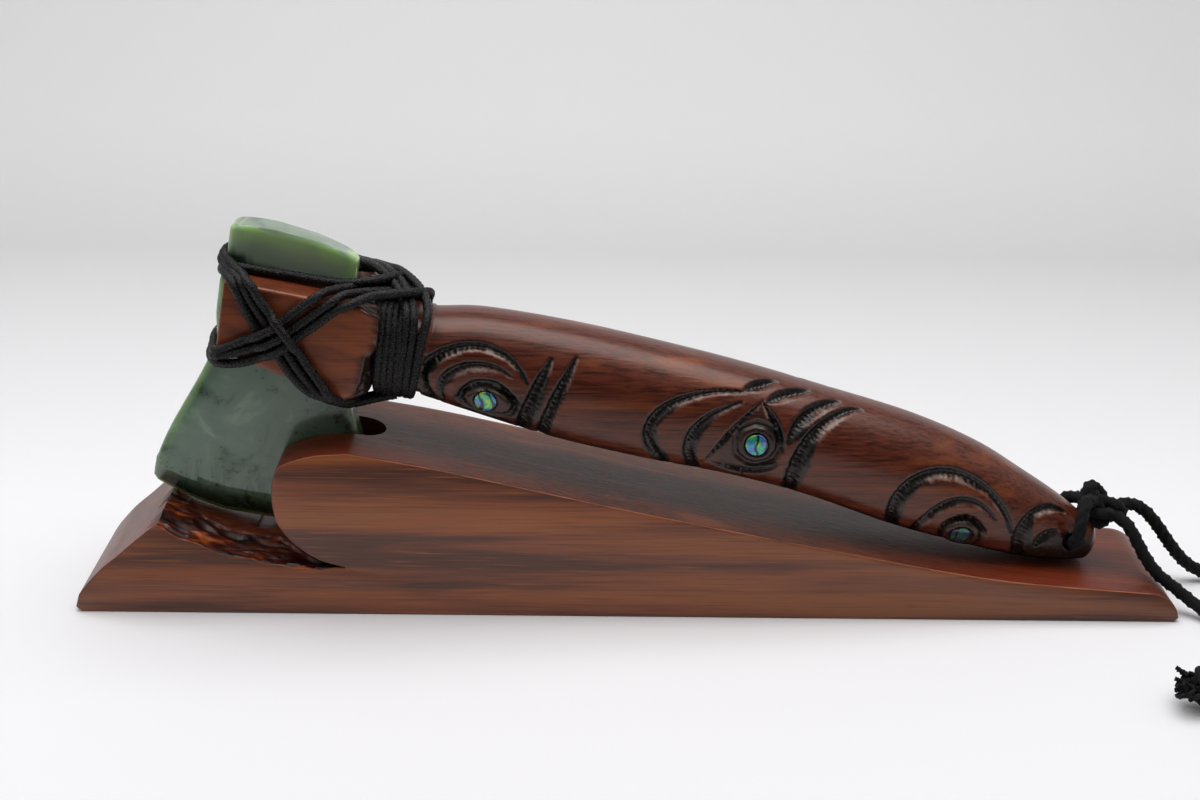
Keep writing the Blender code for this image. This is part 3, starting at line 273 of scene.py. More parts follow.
class AXE_PG_stage(bpy.types.PropertyGroup):
    lens: FloatProperty(name="Lens", description="Focal length in millimetres", default=50.0, min=20.0, max=200.0)
    place: FloatVectorProperty(name="Camera", description="Place of the camera", size=3, subtype="TRANSLATION",
                               unit="LENGTH", default=(-0.01941, -0.50076, 0.27148))
    floor: colour("Floor", "Pale floor and backdrop", "#f4f3f5")
    key: FloatProperty(name="Key light", description="Power of the softbox above, in watts", default=7.6, min=0.0,
                       subtype="POWER", unit="POWER")


# Small tools


def add_node(tree, kind, inputs=None, stops=None, **settings):
    """Adds a node: inputs given as sockets are linked, others set; stops fill a colour ramp."""
    node = tree.nodes.new(kind)
    for key, value in settings.items():
        setattr(node, key, value)
    for key, value in (inputs or {}).items():
        if isinstance(value, bpy.types.NodeSocket):
            tree.links.new(value, node.inputs[key])
        else:
            node.inputs[key].default_value = value
    if stops:
        ramp = node.color_ramp
        while len(ramp.elements) < len(stops):
            ramp.elements.new(0.5)
        for element, (place, tone) in zip(ramp.elements, stops):
            element.position = place
            element.color = (*tone, 1.0) if len(tone) == 3 else tone
    return node


def grey(value):
    """Neutral colour of this linear value."""
    return (value, value, value)


def new_material(name):
    """A material and its tree, with one Principled shader to fill."""
    material = bpy.data.materials.new(name)
    material.use_nodes = True
    tree = material.node_tree
    return material, tree, tree.nodes["Principled BSDF"]


def fill_shader(tree, shader, tone, surface):
    """Links the colour to the shader and sets the surface's constants on its own sockets."""
    tree.links.new(tone, shader.inputs["Base Color"])
    for label, value in surface.items():
        shader.inputs[label].default_value = value


def add_object(name, data):
    """A new object in the scene, at the origin."""
    item = bpy.data.objects.new(name, data)
    bpy.context.scene.collection.objects.link(item)
    return item


def smooth_curve(points, per_span=8, closed=False):
    """Catmull-Rom curve through the points."""
    anchors = np.array(points, dtype=float)
    if closed:
        anchors = np.vstack([anchors[-1], anchors, anchors[:2]])
    else:
        anchors = np.vstack([2 * anchors[0] - anchors[1], anchors, 2 * anchors[-1] - anchors[-2]])
    curve = []
    for a, b, c, d in zip(anchors[:-3], anchors[1:-2], anchors[2:-1], anchors[3:]):
        for t in np.linspace(0.0, 1.0, per_span, endpoint=False):
            curve.append(0.5 * (2 * b + (c - a) * t + (2 * a - 5 * b + 4 * c - d) * t * t
                                + (3 * b - a - 3 * c + d) * t ** 3))
    curve.append(anchors[-2])
    return np.array(curve)


def spaced(line, step):
    """The same line with its points an even step apart."""
    line = np.asarray(line, dtype=float)
    run = np.concatenate([[0.0], np.cumsum(np.linalg.norm(np.diff(line, axis=0), axis=1))])
    places = np.linspace(0.0, run[-1], max(3, int(round(run[-1] / step)) + 1))
    return np.column_stack([np.interp(places, run, line[:, k]) for k in range(line.shape[1])])


def path_length(line):
    """Length of a line from its first point to its last."""
    return float(np.linalg.norm(np.diff(np.asarray(line), axis=0), axis=1).sum())


def smooth_step(low, high, value):
    """Soft rise from 0 at low to 1 at high; it falls where low is above high."""
    share = np.clip((value - low) / (high - low), 0.0, 1.0)
    return share * share * (3 - 2 * share)


def rough(points, size, seed=0.0, octaves=3):
    """Fractal noise from about -1 to 1 at points in metres, with features of the given size."""
    scale = 1.0 / size
    return np.array([noise.fractal(Vector((p[0] * scale + seed, p[1] * scale, p[2] * scale)), 1.0, 2.0, octaves)
                     for p in points])


def placed(points, matrix=AXE):
    """Points turned and moved by a matrix."""
    turn = np.array(matrix.to_3x3())
    return np.asarray(points) @ turn.T + np.array(matrix.translation)


def grid_faces(rows, columns):
    """Quads of a grid of closed rings, ring after ring."""
    row = np.arange(rows - 1)[:, None] * columns
    column = np.arange(columns)[None, :]
    following = (column + 1) % columns
    quads = np.stack([row + column, row + following, row + following + columns, row + column + columns], axis=-1)
    return quads.reshape(-1, 4)


def make_mesh(name, points, quads, extra_faces, material, layers=None):
    """A smooth mesh object at the origin, its faces turned outwards, with named values on its points."""
    mesh = bpy.data.meshes.new(name)
    faces = [tuple(int(k) for k in quad) for quad in quads] + [tuple(face) for face in extra_faces]
    mesh.from_pydata([tuple(point) for point in points], [], faces)
    for label, values in (layers or {}).items():
        attribute = mesh.attributes.new(label, "FLOAT", "POINT")
        attribute.data.foreach_set("value", np.asarray(values, dtype=np.float32))
    mesh.materials.append(material)
    bm = bmesh.new()
    bm.from_mesh(mesh)
    bmesh.ops.recalc_face_normals(bm, faces=bm.faces)
    bm.to_mesh(mesh)
    bm.free()
    mesh.shade_smooth()
    return add_object(name, mesh)


def bake(item):
    """Turns an object and its modifiers into a plain mesh."""
    bpy.context.view_layer.update()
    result = bpy.data.meshes.new_from_object(item.evaluated_get(bpy.context.evaluated_depsgraph_get()))
    item.modifiers.clear()
    item.data = result
    return item


def cut(item, cutter):
    """Cuts one closed mesh out of another and removes the cutter."""
    modifier = item.modifiers.new("Cut", "BOOLEAN")
    modifier.operation = "DIFFERENCE"
    modifier.solver = "EXACT"
    modifier.object = cutter
    bake(item)
    bpy.data.objects.remove(cutter, do_unlink=True)


def belongs(item, *nodes):
    """The piece rides with the object and stands for these solids."""
    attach(item, "root")
    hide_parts(*nodes)


# Forms shared with the solids


def station_table():
    """Rows of distance, top, bottom, half width and squareness above and below."""
    half = HEAD_WIDTH / 2
    end = NECK_START + NECK_LENGTH
    rows = [(-HEAD_FRONT, HEAD_TOP, -DROP_FRONT, half, HEAD_SQUARE, HEAD_SQUARE),
            (HEAD_BACK, HEAD_TOP - EDGE_ROUND, -DROP_BACK, half, HEAD_SQUARE, HEAD_SQUARE),
            (NECK_START, NECK_TOP, -NECK_DROP, NECK_WIDTH / 2, NECK_SQUARE, NECK_SQUARE),
            (end, NECK_TOP, -NECK_DROP, NECK_WIDTH / 2, NECK_SQUARE, NECK_SQUARE)]
    for share, top, bottom, wide in smooth_curve(GRIP_FORM):
        if share * REACH > end:
            rows.append((share * REACH, top * GRIP_DEPTH, bottom * GRIP_DEPTH, wide * GRIP_WIDTH,
                         ROUND_TOP, ROUND_BOTTOM))
    return np.array(rows)


STATIONS = station_table()


def section(along):
    """Top, bottom, half width and the two exponents of the handle at a distance or distances."""
    return [np.interp(along, STATIONS[:, 0], STATIONS[:, k]) for k in range(1, 6)]


def even_ring(along, grow=0.0):
    """Section of the handle, its points half again as close on the front, where the finer carving is."""
    top, bottom, half, square_top, square_bottom = section(along)
    middle = bottom + SECTION_WAIST * (top - bottom)
    swing = np.linspace(0.0, 2 * math.pi, 1441)
    cos, sin = np.cos(swing), np.sin(swing)
    square = np.where(sin > 0, square_top, square_bottom)
    reach = np.where(sin > 0, top - middle, middle - bottom) + grow
    y = (half + grow) * np.sign(cos) * np.abs(cos) ** (2 / square)
    z = middle + reach * np.sign(sin) * np.abs(sin) ** (2 / square)
    weight = np.where(y[1:] + y[:-1] < 0, 1.5, 1.0)
    run = np.concatenate([[0.0], np.cumsum(weight * np.hypot(np.diff(y), np.diff(z)))])
    places = np.linspace(0.0, run[-1], HANDLE_POINTS, endpoint=False)
    return np.column_stack([np.full(HANDLE_POINTS, along), np.interp(places, run, y), np.interp(places, run, z)])


def side_at(along, up):
    """Half width of the handle at places given along it and up it."""
    top, bottom, half, square_top, square_bottom = section(along)
    middle = bottom + SECTION_WAIST * (top - bottom)
    square = np.where(up > middle, square_top, square_bottom)
    reach = np.where(up > middle, top - middle, middle - bottom)
    share = np.clip(np.abs(up - middle) / reach, 0.0, 0.99999)
    return half * (1 - share ** square) ** (1 / square)


def on_side(share_along, share_up, side=-1.0):
    """Points on the handle's front or back."""
    along = np.asarray(share_along) * REACH
    top, bottom = section(along)[:2]
    up = bottom + np.asarray(share_up) * (top - bottom)
    return np.stack([along, side * side_at(along, up), up], axis=-1)


def cord_hole():
    """Where the cord hole's centre lies along the handle and up it."""
    along = REACH - HOLE_FROM_BUTT
    top, bottom = section(along)[:2]
    return along, (top + bottom) / 2


def blade_half_width(up):
    """Half width of the blade at a height: parallel in the haft, then flaring to the edge."""
    if up > -DROP_FRONT:
        return POLL_WIDTH / 2
    share = (-DROP_FRONT - up) / (EDGE_DOWN - DROP_FRONT)
    return POLL_WIDTH / 2 + (EDGE_WIDTH - POLL_WIDTH) / 2 * math.sin(share * math.pi / 2) ** 1.55


def blade_ring(up, half_width, half_thickness, bow, slope, lean=0.0, swell=0.0, count=96):
    """A section of the blade: a rectangle with round rims, bowed up towards both, the left one swollen."""
    swing = 2 * math.pi * (np.arange(count) + 0.5) / count
    cos, sin = np.cos(swing), np.sin(swing)
    share = np.sign(cos) * np.abs(cos) ** (1 / 3)
    y = half_thickness * np.sign(sin) * np.abs(sin) ** (1 / 3)
    x = half_width * share - swell * np.maximum(0.0, -share) ** 3
    fall = lean * y * (POLL_LEAN[0] + POLL_LEAN[1] * x)
    return np.column_stack([x, y, up + bow * share ** 2 - slope * x - fall])


def blade_rings(steps=40):
    """Sections of the blade from poll to edge."""
    half_thick, land = BLADE_THICKNESS / 2, EDGE_LAND / 2
    rings = []
    for turn in np.linspace(0.0, math.pi / 2, 9):
        inset = POLL_ROUND * (1 - math.sin(turn))
        up = POLL_UP - POLL_ROUND * (1 - math.cos(turn))
        rings.append(blade_ring(up, POLL_WIDTH / 2 - inset, half_thick - 0.5 * inset, -POLL_CROWN, POLL_SLOPE, 1.0))
    bevel_up = -EDGE_DOWN + BEVEL
    flat_top = POLL_UP - 2.5 * POLL_ROUND
    for share in np.linspace(0.0, 1.0, steps):
        up = flat_top + share * (bevel_up - flat_top)
        fall = min(1.0, max(0.0, -up / EDGE_DOWN))
        bow = EDGE_SAG * fall ** 1.6 - POLL_CROWN * max(0.0, up / flat_top)
        swell = LEFT_SWELL * smooth_step(-0.014, -0.004, up) * smooth_step(0.014, 0.006, up)
        rings.append(blade_ring(up, blade_half_width(up), half_thick, bow, POLL_SLOPE * (1 - fall) ** 3,
                                max(0.0, up / flat_top) ** 2, swell))
    for share in (0.94, 0.5, 0.2):
        up = -EDGE_DOWN + share * BEVEL
        rings.append(blade_ring(up, blade_half_width(up), land + share * (half_thick - land), EDGE_SAG, 0.0))
    rings.append(blade_ring(-EDGE_DOWN, EDGE_WIDTH / 2 - CORNER, land, EDGE_SAG, 0.0))
    return rings


# Materials


def wood_material(name, settings, turn, base, streak_amount):
    """Hardwood, sanded, stained dark and rubbed with satin oil: fine long grain, soft broad streaks, worn edges."""
    material, tree, shader = new_material(name)
    place = add_node(tree, "ShaderNodeTexCoord").outputs["Object"]
    along = add_node(tree, "ShaderNodeMapping", {"Vector": place, "Rotation": (0.0, turn, 0.0),
                                                 "Scale": (0.035, 1.0, 1.0)}).outputs[0]
    fine = add_node(tree, "ShaderNodeTexNoise", {"Vector": along, "Scale": 1 / settings.grain, "Detail": 4.0,
                                                 "Roughness": 0.6}).outputs["Fac"]
    broad = add_node(tree, "ShaderNodeTexNoise", {"Vector": along, "Scale": 1 / (9 * settings.grain), "Detail": 3.0,
                                                  "Distortion": 0.6}).outputs["Fac"]
    # Pores are 0.1 mm wide, too fine to show, so they are drawn at a third of the grain, three times that.
    pores = add_node(tree, "ShaderNodeTexNoise", {"Vector": along, "Scale": 3 / settings.grain,
                                                  "Detail": 2.0}).outputs["Fac"]
    lines = add_node(tree, "ShaderNodeValToRGB", {0: fine}, stops=((0.36, settings.deep), (0.60, base))).outputs[0]
    strip = add_node(tree, "ShaderNodeValToRGB", {0: broad}, stops=((0.54, grey(0.0)), (0.68, grey(1.0)))).outputs[0]
    share = add_node(tree, "ShaderNodeMath", {0: strip, 1: streak_amount}, operation="MULTIPLY").outputs[0]
    tone = add_node(tree, "ShaderNodeMix", {0: share, 6: lines, 7: (*settings.streak, 1.0)},
                    data_type="RGBA").outputs[2]
    specks = add_node(tree, "ShaderNodeValToRGB", {0: pores}, stops=(
        (0.30, grey(0.45)), (0.42, grey(1.0)))).outputs[0]
    tone = add_node(tree, "ShaderNodeMix", {0: 1.0, 6: tone, 7: specks}, data_type="RGBA",
                    blend_type="MULTIPLY").outputs[2]
    return material, tree, shader, tone, fine, place


def paint_over(tree, tone, label, over, share=1.0):
    """The tone with another laid over it where a named value on the mesh says so."""
    mask = add_node(tree, "ShaderNodeAttribute", attribute_name=label).outputs["Fac"]
    mask = add_node(tree, "ShaderNodeMath", {0: mask, 1: share}, operation="MULTIPLY").outputs[0]
    return add_node(tree, "ShaderNodeMix", {0: mask, 6: tone, 7: over}, data_type="RGBA").outputs[2]


def finish_wood(tree, shader, tone, fine, roughness, bump, coat):
    """Satin oil over the grain: a soft uneven shine that the grain just breaks."""
    fill_shader(tree, shader, tone, {"Coat Weight": coat, "Coat Roughness": 0.22, "IOR": 1.45})
    uneven = add_node(tree, "ShaderNodeMapRange", {0: fine, 1: 0.3, 2: 0.7, 3: roughness - 0.05, 4: roughness + 0.08})
    tree.links.new(uneven.outputs[0], shader.inputs["Roughness"])
    relief = add_node(tree, "ShaderNodeBump", {"Height": fine, "Strength": 0.35, "Distance": bump})
    tree.links.new(relief.outputs[0], shader.inputs["Normal"])


def stand_wood(settings):
    """The stand's wood: sawn faces with soft long bands, a glossy amber gouged floor, pale rubbed edges painted
    brighter as a highlight, painted shade in the notch's tip and painted reflected light near the blade and the butt.
    """
    material, tree, shader, tone, fine, place = wood_material("Stained hardwood, sawn and oiled", settings, 0.0,
                                                              settings.mid, 0.75)
    drawn = add_node(tree, "ShaderNodeMapping", {"Vector": place, "Scale": (0.38, 1.0, 1.0)}).outputs[0]
    # Gouge marks are 5 mm wide.
    clumps = add_node(tree, "ShaderNodeTexNoise", {"Vector": drawn, "Scale": 1 / 0.0050, "Detail": 4.0,
                                                   "Distortion": 0.5}).outputs["Fac"]
    amber = add_node(tree, "ShaderNodeValToRGB", {0: clumps}, stops=(
        (0.38, rgb("#1c0604")), (0.53, rgb("#4c1808")), (0.62, settings.amber), (0.71, rgb("#b0581a")))).outputs[0]
    # The sawn front and back take the stain more evenly, and the marks stop at their faces.
    xyz = add_node(tree, "ShaderNodeSeparateXYZ", {0: place}).outputs
    depth = add_node(tree, "ShaderNodeMath", {0: xyz[1]}, operation="ABSOLUTE").outputs[0]
    inner = add_node(tree, "ShaderNodeMapRange", {0: depth, 1: STAND_DEPTH / 2 - 0.00008,
                                                  2: STAND_DEPTH / 2 - 0.00002, 3: 1.0, 4: 0.0}).outputs[0]
    # Growth rings meet the sawn face as bands about 8.5 mm apart.
    band = add_node(tree, "ShaderNodeMapping", {"Vector": place, "Rotation": (0.0, 0.02, 0.0),
                                                "Scale": (0.05, 1.0, 1.0)}).outputs[0]
    soft = add_node(tree, "ShaderNodeTexNoise", {"Vector": band, "Scale": 1 / 0.0085, "Detail": 3.0,
                                                 "Distortion": 0.4}).outputs["Fac"]
    bands = add_node(tree, "ShaderNodeValToRGB", {0: soft}, stops=(
        (0.39, rgb("#5e382a")), (0.50, settings.face), (0.61, rgb("#9c5a32")))).outputs[0]
    # Fibres are 0.2 mm wide, too fine to show, so they are drawn at three times that.
    hairs = add_node(tree, "ShaderNodeMapping", {"Vector": place, "Scale": (0.022, 1.0, 1.0)}).outputs[0]
    hairs = add_node(tree, "ShaderNodeTexNoise", {"Vector": hairs, "Scale": 1 / 0.0006, "Detail": 3.0}).outputs["Fac"]
    pale = add_node(tree, "ShaderNodeValToRGB", {0: hairs}, stops=((0.58, grey(0.0)), (0.72, grey(0.7)))).outputs[0]
    low = add_node(tree, "ShaderNodeValToRGB", {0: hairs}, stops=((0.30, grey(0.64)), (0.48, grey(1.0)))).outputs[0]
    sawn = add_node(tree, "ShaderNodeMix", {0: pale, 6: bands, 7: (*settings.fibre, 1.0)},
                    data_type="RGBA").outputs[2]
    sawn = add_node(tree, "ShaderNodeMix", {0: 1.0, 6: sawn, 7: low}, data_type="RGBA",
                    blend_type="MULTIPLY").outputs[2]
    tone = add_node(tree, "ShaderNodeMix", {0: inner, 6: sawn, 7: tone}, data_type="RGBA").outputs[2]
    # The block is drawn darker towards both ends, most at the toe.
    run = add_node(tree, "ShaderNodeMapRange", {0: xyz[0], 1: -STAND_LENGTH / 2, 2: STAND_LENGTH / 2}).outputs[0]
    ends = add_node(tree, "ShaderNodeValToRGB", {0: run}, stops=(
        (0.0, grey(0.78)), (0.14, grey(0.96)), (0.40, grey(1.0)), (0.62, grey(0.84)), (0.95, grey(0.64)))).outputs[0]
    tone = add_node(tree, "ShaderNodeMix", {0: 1.0, 6: tone, 7: ends}, data_type="RGBA",
                    blend_type="MULTIPLY").outputs[2]
    # Painted reflected light on the hook and the toe
    tone = paint_over(tree, tone, "glow", (*settings.glow, 1.0), inner)
    tone = paint_over(tree, tone, "gouge", amber, inner)
    # Painted shade: the narrow tip of the notch, under the blade, is painted near black
    tone = paint_over(tree, tone, "tip", (*rgb("#120a08"), 1.0), inner)
    # Painted highlight along the rubbed upper edges, in the orange of worn wood
    tone = paint_over(tree, tone, "edge", (*settings.worn_edge_and_highlight, 1.0), inner)
    finish_wood(tree, shader, tone, fine, 0.38, 0.0004, 0.1)
    return material


def handle_wood(settings):
    """The handle's wood: red brown and glossier, black in the carved lines, thin orange stain on the head."""
    material, tree, shader, tone, fine, place = wood_material("Stained hardwood, carved and oiled", settings,
                                                              AXE_TILT, settings.warm, 0.6)
    # The chisel's edge left scrapes about 1.2 mm wide under the black.
    scrape = add_node(tree, "ShaderNodeTexNoise", {"Vector": place, "Scale": 1 / 0.0012,
                                                   "Detail": 3.0}).outputs["Fac"]
    black = add_node(tree, "ShaderNodeValToRGB", {0: scrape}, stops=(
        (0.5, settings.paint), (0.74, rgb("#2b2f2d")))).outputs[0]
    tone = paint_over(tree, tone, "head", (*settings.head, 1.0))
    tone = paint_over(tree, tone, "hollow", (*rgb("#2a1a17"), 1.0))
    # Dark of the chopped shoulder, the black butt and the rings round the eyes, with painted shade along the
    # underside
    tone = paint_over(tree, tone, "dark", (*rgb("#1c1413"), 1.0))
    # Bare wood of the carving's facets and the shoulder's chips, painted pale where they face up, as a highlight
    tone = paint_over(tree, tone, "bare_wood_and_highlight", (*rgb("#7f675c"), 1.0))
    tone = paint_over(tree, tone, "paint", black)
    # Painted highlight along the head's rubbed upper corners, in the orange of worn wood
    tone = paint_over(tree, tone, "edge", (*settings.worn_edge_and_highlight, 1.0))
    finish_wood(tree, shader, tone, fine, 0.31, 0.0003, 0.22)
    shader.inputs["Specular Tint"].default_value = (1.0, 0.82, 0.74, 1.0)
    return material


def stone_material(settings):
    """Nephrite, ground and polished: cloudy green, dark specks, pale wisps, and light through the thin rims."""
    material, tree, shader = new_material("Polished nephrite")
    place = add_node(tree, "ShaderNodeTexCoord").outputs["Object"]
    # Clouds in the stone are 16 mm across and wisps 9 mm.
    cloud = add_node(tree, "ShaderNodeTexNoise", {"Vector": place, "Scale": 1 / 0.016, "Detail": 6.0,
                                                  "Roughness": 0.62, "Distortion": 0.8}).outputs["Fac"]
    tone = add_node(tree, "ShaderNodeValToRGB", {0: cloud}, stops=(
        (0.34, rgb("#3a533f")), (0.48, settings.body), (0.60, rgb("#677f6b")), (0.74, rgb("#889f88")))).outputs[0]
    wisp = add_node(tree, "ShaderNodeTexNoise", {"Vector": place, "Scale": 1 / 0.009, "Detail": 8.0,
                                                 "Roughness": 0.7, "Distortion": 2.2}).outputs["Fac"]
    wisps = add_node(tree, "ShaderNodeValToRGB", {0: wisp}, stops=((0.60, grey(0.0)), (0.74, grey(0.35)))).outputs[0]
    tone = add_node(tree, "ShaderNodeMix", {0: wisps, 6: tone, 7: (*rgb("#84996f"), 1.0)},
                    data_type="RGBA").outputs[2]
    speck = add_node(tree, "ShaderNodeTexNoise", {"Vector": place, "Scale": 1 / settings.speck, "Detail": 4.0,
                                                  "Roughness": 0.55}).outputs["Fac"]
    gather = add_node(tree, "ShaderNodeMath", {0: speck, 1: cloud}, operation="SUBTRACT").outputs[0]
    specks = add_node(tree, "ShaderNodeValToRGB", {0: gather}, stops=(
        (0.13, grey(0.0)), (0.20, grey(0.60)))).outputs[0]
    tone = add_node(tree, "ShaderNodeMix", {0: specks, 6: tone, 7: (*rgb("#1b2420"), 1.0)},
                    data_type="RGBA").outputs[2]
    # Painted shade on the bevel, and dark in a corner of the poll
    tone = paint_over(tree, tone, "bevel", (*settings.dark, 1.0))
    tone = paint_over(tree, tone, "poll", (*settings.pale, 1.0))
    tone = paint_over(tree, tone, "lime", (*settings.lime, 1.0))
    tone = paint_over(tree, tone, "rim", (*rgb("#b9d36a"), 1.0))
    fill_shader(tree, shader, tone, {
        "Roughness": 0.16, "IOR": 1.62, "Subsurface Weight": 0.35, "Subsurface Radius": (0.6, 1.0, 0.45),
        "Subsurface Scale": 0.0025})
    return material


def paua_material():
    """Pāua shell, cut and polished: wavy bands of blue, green and pink under a clear gloss."""
    material, tree, shader = new_material("Polished paua shell")
    place = add_node(tree, "ShaderNodeTexCoord").outputs["Object"]
    # Patches of one colour are 4 mm across, and the dark growth lines 12 mm apart before they are bent.
    patches = add_node(tree, "ShaderNodeTexNoise", {"Vector": place, "Scale": 1 / 0.0042, "Detail": 2.0,
                                                    "Distortion": 1.6}).outputs["Fac"]
    tone = add_node(tree, "ShaderNodeValToRGB", {0: patches}, stops=(
        (0.34, rgb("#a9c94a")), (0.43, rgb("#3fb56c")), (0.50, rgb("#35a5ab")), (0.57, rgb("#3a6fc0")),
        (0.66, rgb("#8f7fc4")))).outputs[0]
    lines = add_node(tree, "ShaderNodeTexWave", {"Vector": place, "Scale": 1 / 0.012, "Distortion": 7.0,
                                                 "Detail": 2.0, "Detail Scale": 1.4}).outputs["Fac"]
    dark = add_node(tree, "ShaderNodeValToRGB", {0: lines}, stops=((0.06, grey(0.10)), (0.20, grey(1.0)))).outputs[0]
    tone = add_node(tree, "ShaderNodeMix", {0: 1.0, 6: tone, 7: dark}, data_type="RGBA",
                    blend_type="MULTIPLY").outputs[2]
    # Painted shade: the last pair of discs is darkened, lying in shade near the butt
    tone = paint_over(tree, tone, "stain", (*rgb("#16211f"), 1.0))
    fill_shader(tree, shader, tone, {"Roughness": 0.15, "Metallic": 0.35, "Coat Weight": 0.6})
    return material


def cord_material(name, tone, roughness, painted_glints, thread, strength):
    """Black cord: the threads of its braid or twist break the highlight into fine specks, and grey specks painted
    into its colour stand in for their glints.
    """
    material, tree, shader = new_material(name)
    place = add_node(tree, "ShaderNodeTexCoord").outputs["Object"]
    # Threads are 0.15 mm, too fine to show, so they are drawn at about four times that.
    threads = add_node(tree, "ShaderNodeTexNoise", {"Vector": place, "Scale": 1 / thread, "Detail": 2.0,
                                                    "Roughness": 0.7}).outputs["Fac"]
    # Painted highlight: grey specks in the black stand in for glints on the threads
    tone = add_node(tree, "ShaderNodeValToRGB", {0: threads}, stops=((0.52, tone), (0.72, painted_glints))).outputs[0]
    fill_shader(tree, shader, tone, {"Roughness": roughness, "Specular IOR Level": 0.30, "Sheen Weight": 0.03})
    relief = add_node(tree, "ShaderNodeBump", {"Height": threads, "Strength": strength, "Distance": 0.0007})
    tree.links.new(relief.outputs[0], shader.inputs["Normal"])
    return material


# Cord swept along paths by Geometry Nodes

SWEEP_INPUTS = (("Diameter", "NodeSocketFloat"), ("Sides", "NodeSocketInt"), ("Plies", "NodeSocketInt"),
                ("Lobe depth", "NodeSocketFloat"), ("Lay length", "NodeSocketFloat"), ("Step", "NodeSocketFloat"),
                ("Material", "NodeSocketMaterial"))


def sweep_tree():
    """Sweeps a lobed section along each path, turned once per lay length, as laid cord is."""
    if "Laid cord" in bpy.data.node_groups:
        return bpy.data.node_groups["Laid cord"]
    tree = bpy.data.node_groups.new("Laid cord", "GeometryNodeTree")
    tree.interface.new_socket("Geometry", in_out="INPUT", socket_type="NodeSocketGeometry")
    for label, kind in SWEEP_INPUTS:
        tree.interface.new_socket(label, in_out="INPUT", socket_type=kind)
    tree.interface.new_socket("Geometry", in_out="OUTPUT", socket_type="NodeSocketGeometry")
    given = add_node(tree, "NodeGroupInput").outputs
    line = add_node(tree, "GeometryNodeMeshToCurve", {"Mesh": given["Geometry"]}).outputs[0]
    line = add_node(tree, "GeometryNodeResampleCurve", {"Curve": line, "Length": given["Step"]},
                    mode="LENGTH").outputs[0]
    run = add_node(tree, "GeometryNodeSplineParameter").outputs["Length"]
    turns = add_node(tree, "ShaderNodeMath", {0: run, 1: given["Lay length"]}, operation="DIVIDE").outputs[0]
    tilt = add_node(tree, "ShaderNodeMath", {0: turns, 1: 2 * math.pi}, operation="MULTIPLY").outputs[0]
    line = add_node(tree, "GeometryNodeSetCurveTilt", {"Curve": line, "Tilt": tilt}).outputs[0]
    radius = add_node(tree, "ShaderNodeMath", {0: given["Diameter"], 1: 0.5}, operation="MULTIPLY").outputs[0]
    ring = add_node(tree, "GeometryNodeCurvePrimitiveCircle", {"Resolution": given["Sides"], "Radius": radius})
    part = add_node(tree, "GeometryNodeSplineParameter").outputs["Factor"]
    swing = add_node(tree, "ShaderNodeMath", {0: part, 1: 2 * math.pi}, operation="MULTIPLY").outputs[0]
    swing = add_node(tree, "ShaderNodeMath", {0: swing, 1: given["Plies"]}, operation="MULTIPLY").outputs[0]
    wave = add_node(tree, "ShaderNodeMath", {0: swing}, operation="COSINE").outputs[0]
    dip = add_node(tree, "ShaderNodeMapRange", {0: wave, 1: -1.0, 2: 1.0, 3: given["Lobe depth"], 4: 0.0}).outputs[0]
    keep = add_node(tree, "ShaderNodeMath", {0: 1.0, 1: dip}, operation="SUBTRACT").outputs[0]
    spot = add_node(tree, "GeometryNodeInputPosition").outputs[0]
    spot = add_node(tree, "ShaderNodeVectorMath", {0: spot, 3: keep}, operation="SCALE").outputs[0]
    ring = add_node(tree, "GeometryNodeSetPosition", {"Geometry": ring.outputs["Curve"], "Position": spot}).outputs[0]
    tube = add_node(tree, "GeometryNodeCurveToMesh", {"Curve": line, "Profile Curve": ring, "Fill Caps": True})
    soft = add_node(tree, "GeometryNodeSetShadeSmooth", {0: tube.outputs[0]}).outputs[0]
    real = add_node(tree, "GeometryNodeRealizeInstances", {0: soft}).outputs[0]
    done = add_node(tree, "GeometryNodeSetMaterial", {"Geometry": real, "Material": given["Material"]}).outputs[0]
    add_node(tree, "NodeGroupOutput", {0: done})
    return tree


def swept(name, paths, material, diameter, closed, sides, plies, lobe, lay):
    """A mesh of cord along each path. Paths named in closed join end to start."""
    points, edges = [], []
    for k, path in enumerate(paths):
        first = len(points)
        points += [tuple(point) for point in path]
        edges += [(first + j, first + j + 1) for j in range(len(path) - 1)]
        if k in closed:
            edges.append((len(points) - 1, first))
    mesh = bpy.data.meshes.new(name)
    mesh.from_pydata(points, edges, [])
    item = add_object(name, mesh)
    tree = sweep_tree()
    modifier = item.modifiers.new("Laid cord", "NODES")
    modifier.node_group = tree
    values = {"Diameter": diameter, "Sides": sides, "Plies": plies, "Lobe depth": lobe, "Lay length": lay,
              "Step": 0.45 * diameter, "Material": material}
    for socket in tree.interface.items_tree:
        if socket.in_out == "INPUT" and socket.name in values:
            modifier[socket.identifier] = values[socket.name]
    return bake(item)


# Stand


def stand_top(x):
    """Height of the long slope."""
    crest, toe = EDGE_PLACE + CREST_FROM_EDGE, STAND_LENGTH / 2 - TOE_ROUND
    wave = smooth_curve(WAVE, 24)
    return TOE_HEIGHT + np.interp((x - crest) / (toe - crest), wave[:, 0], wave[:, 1]) * (CREST_HEIGHT - TOE_HEIGHT)


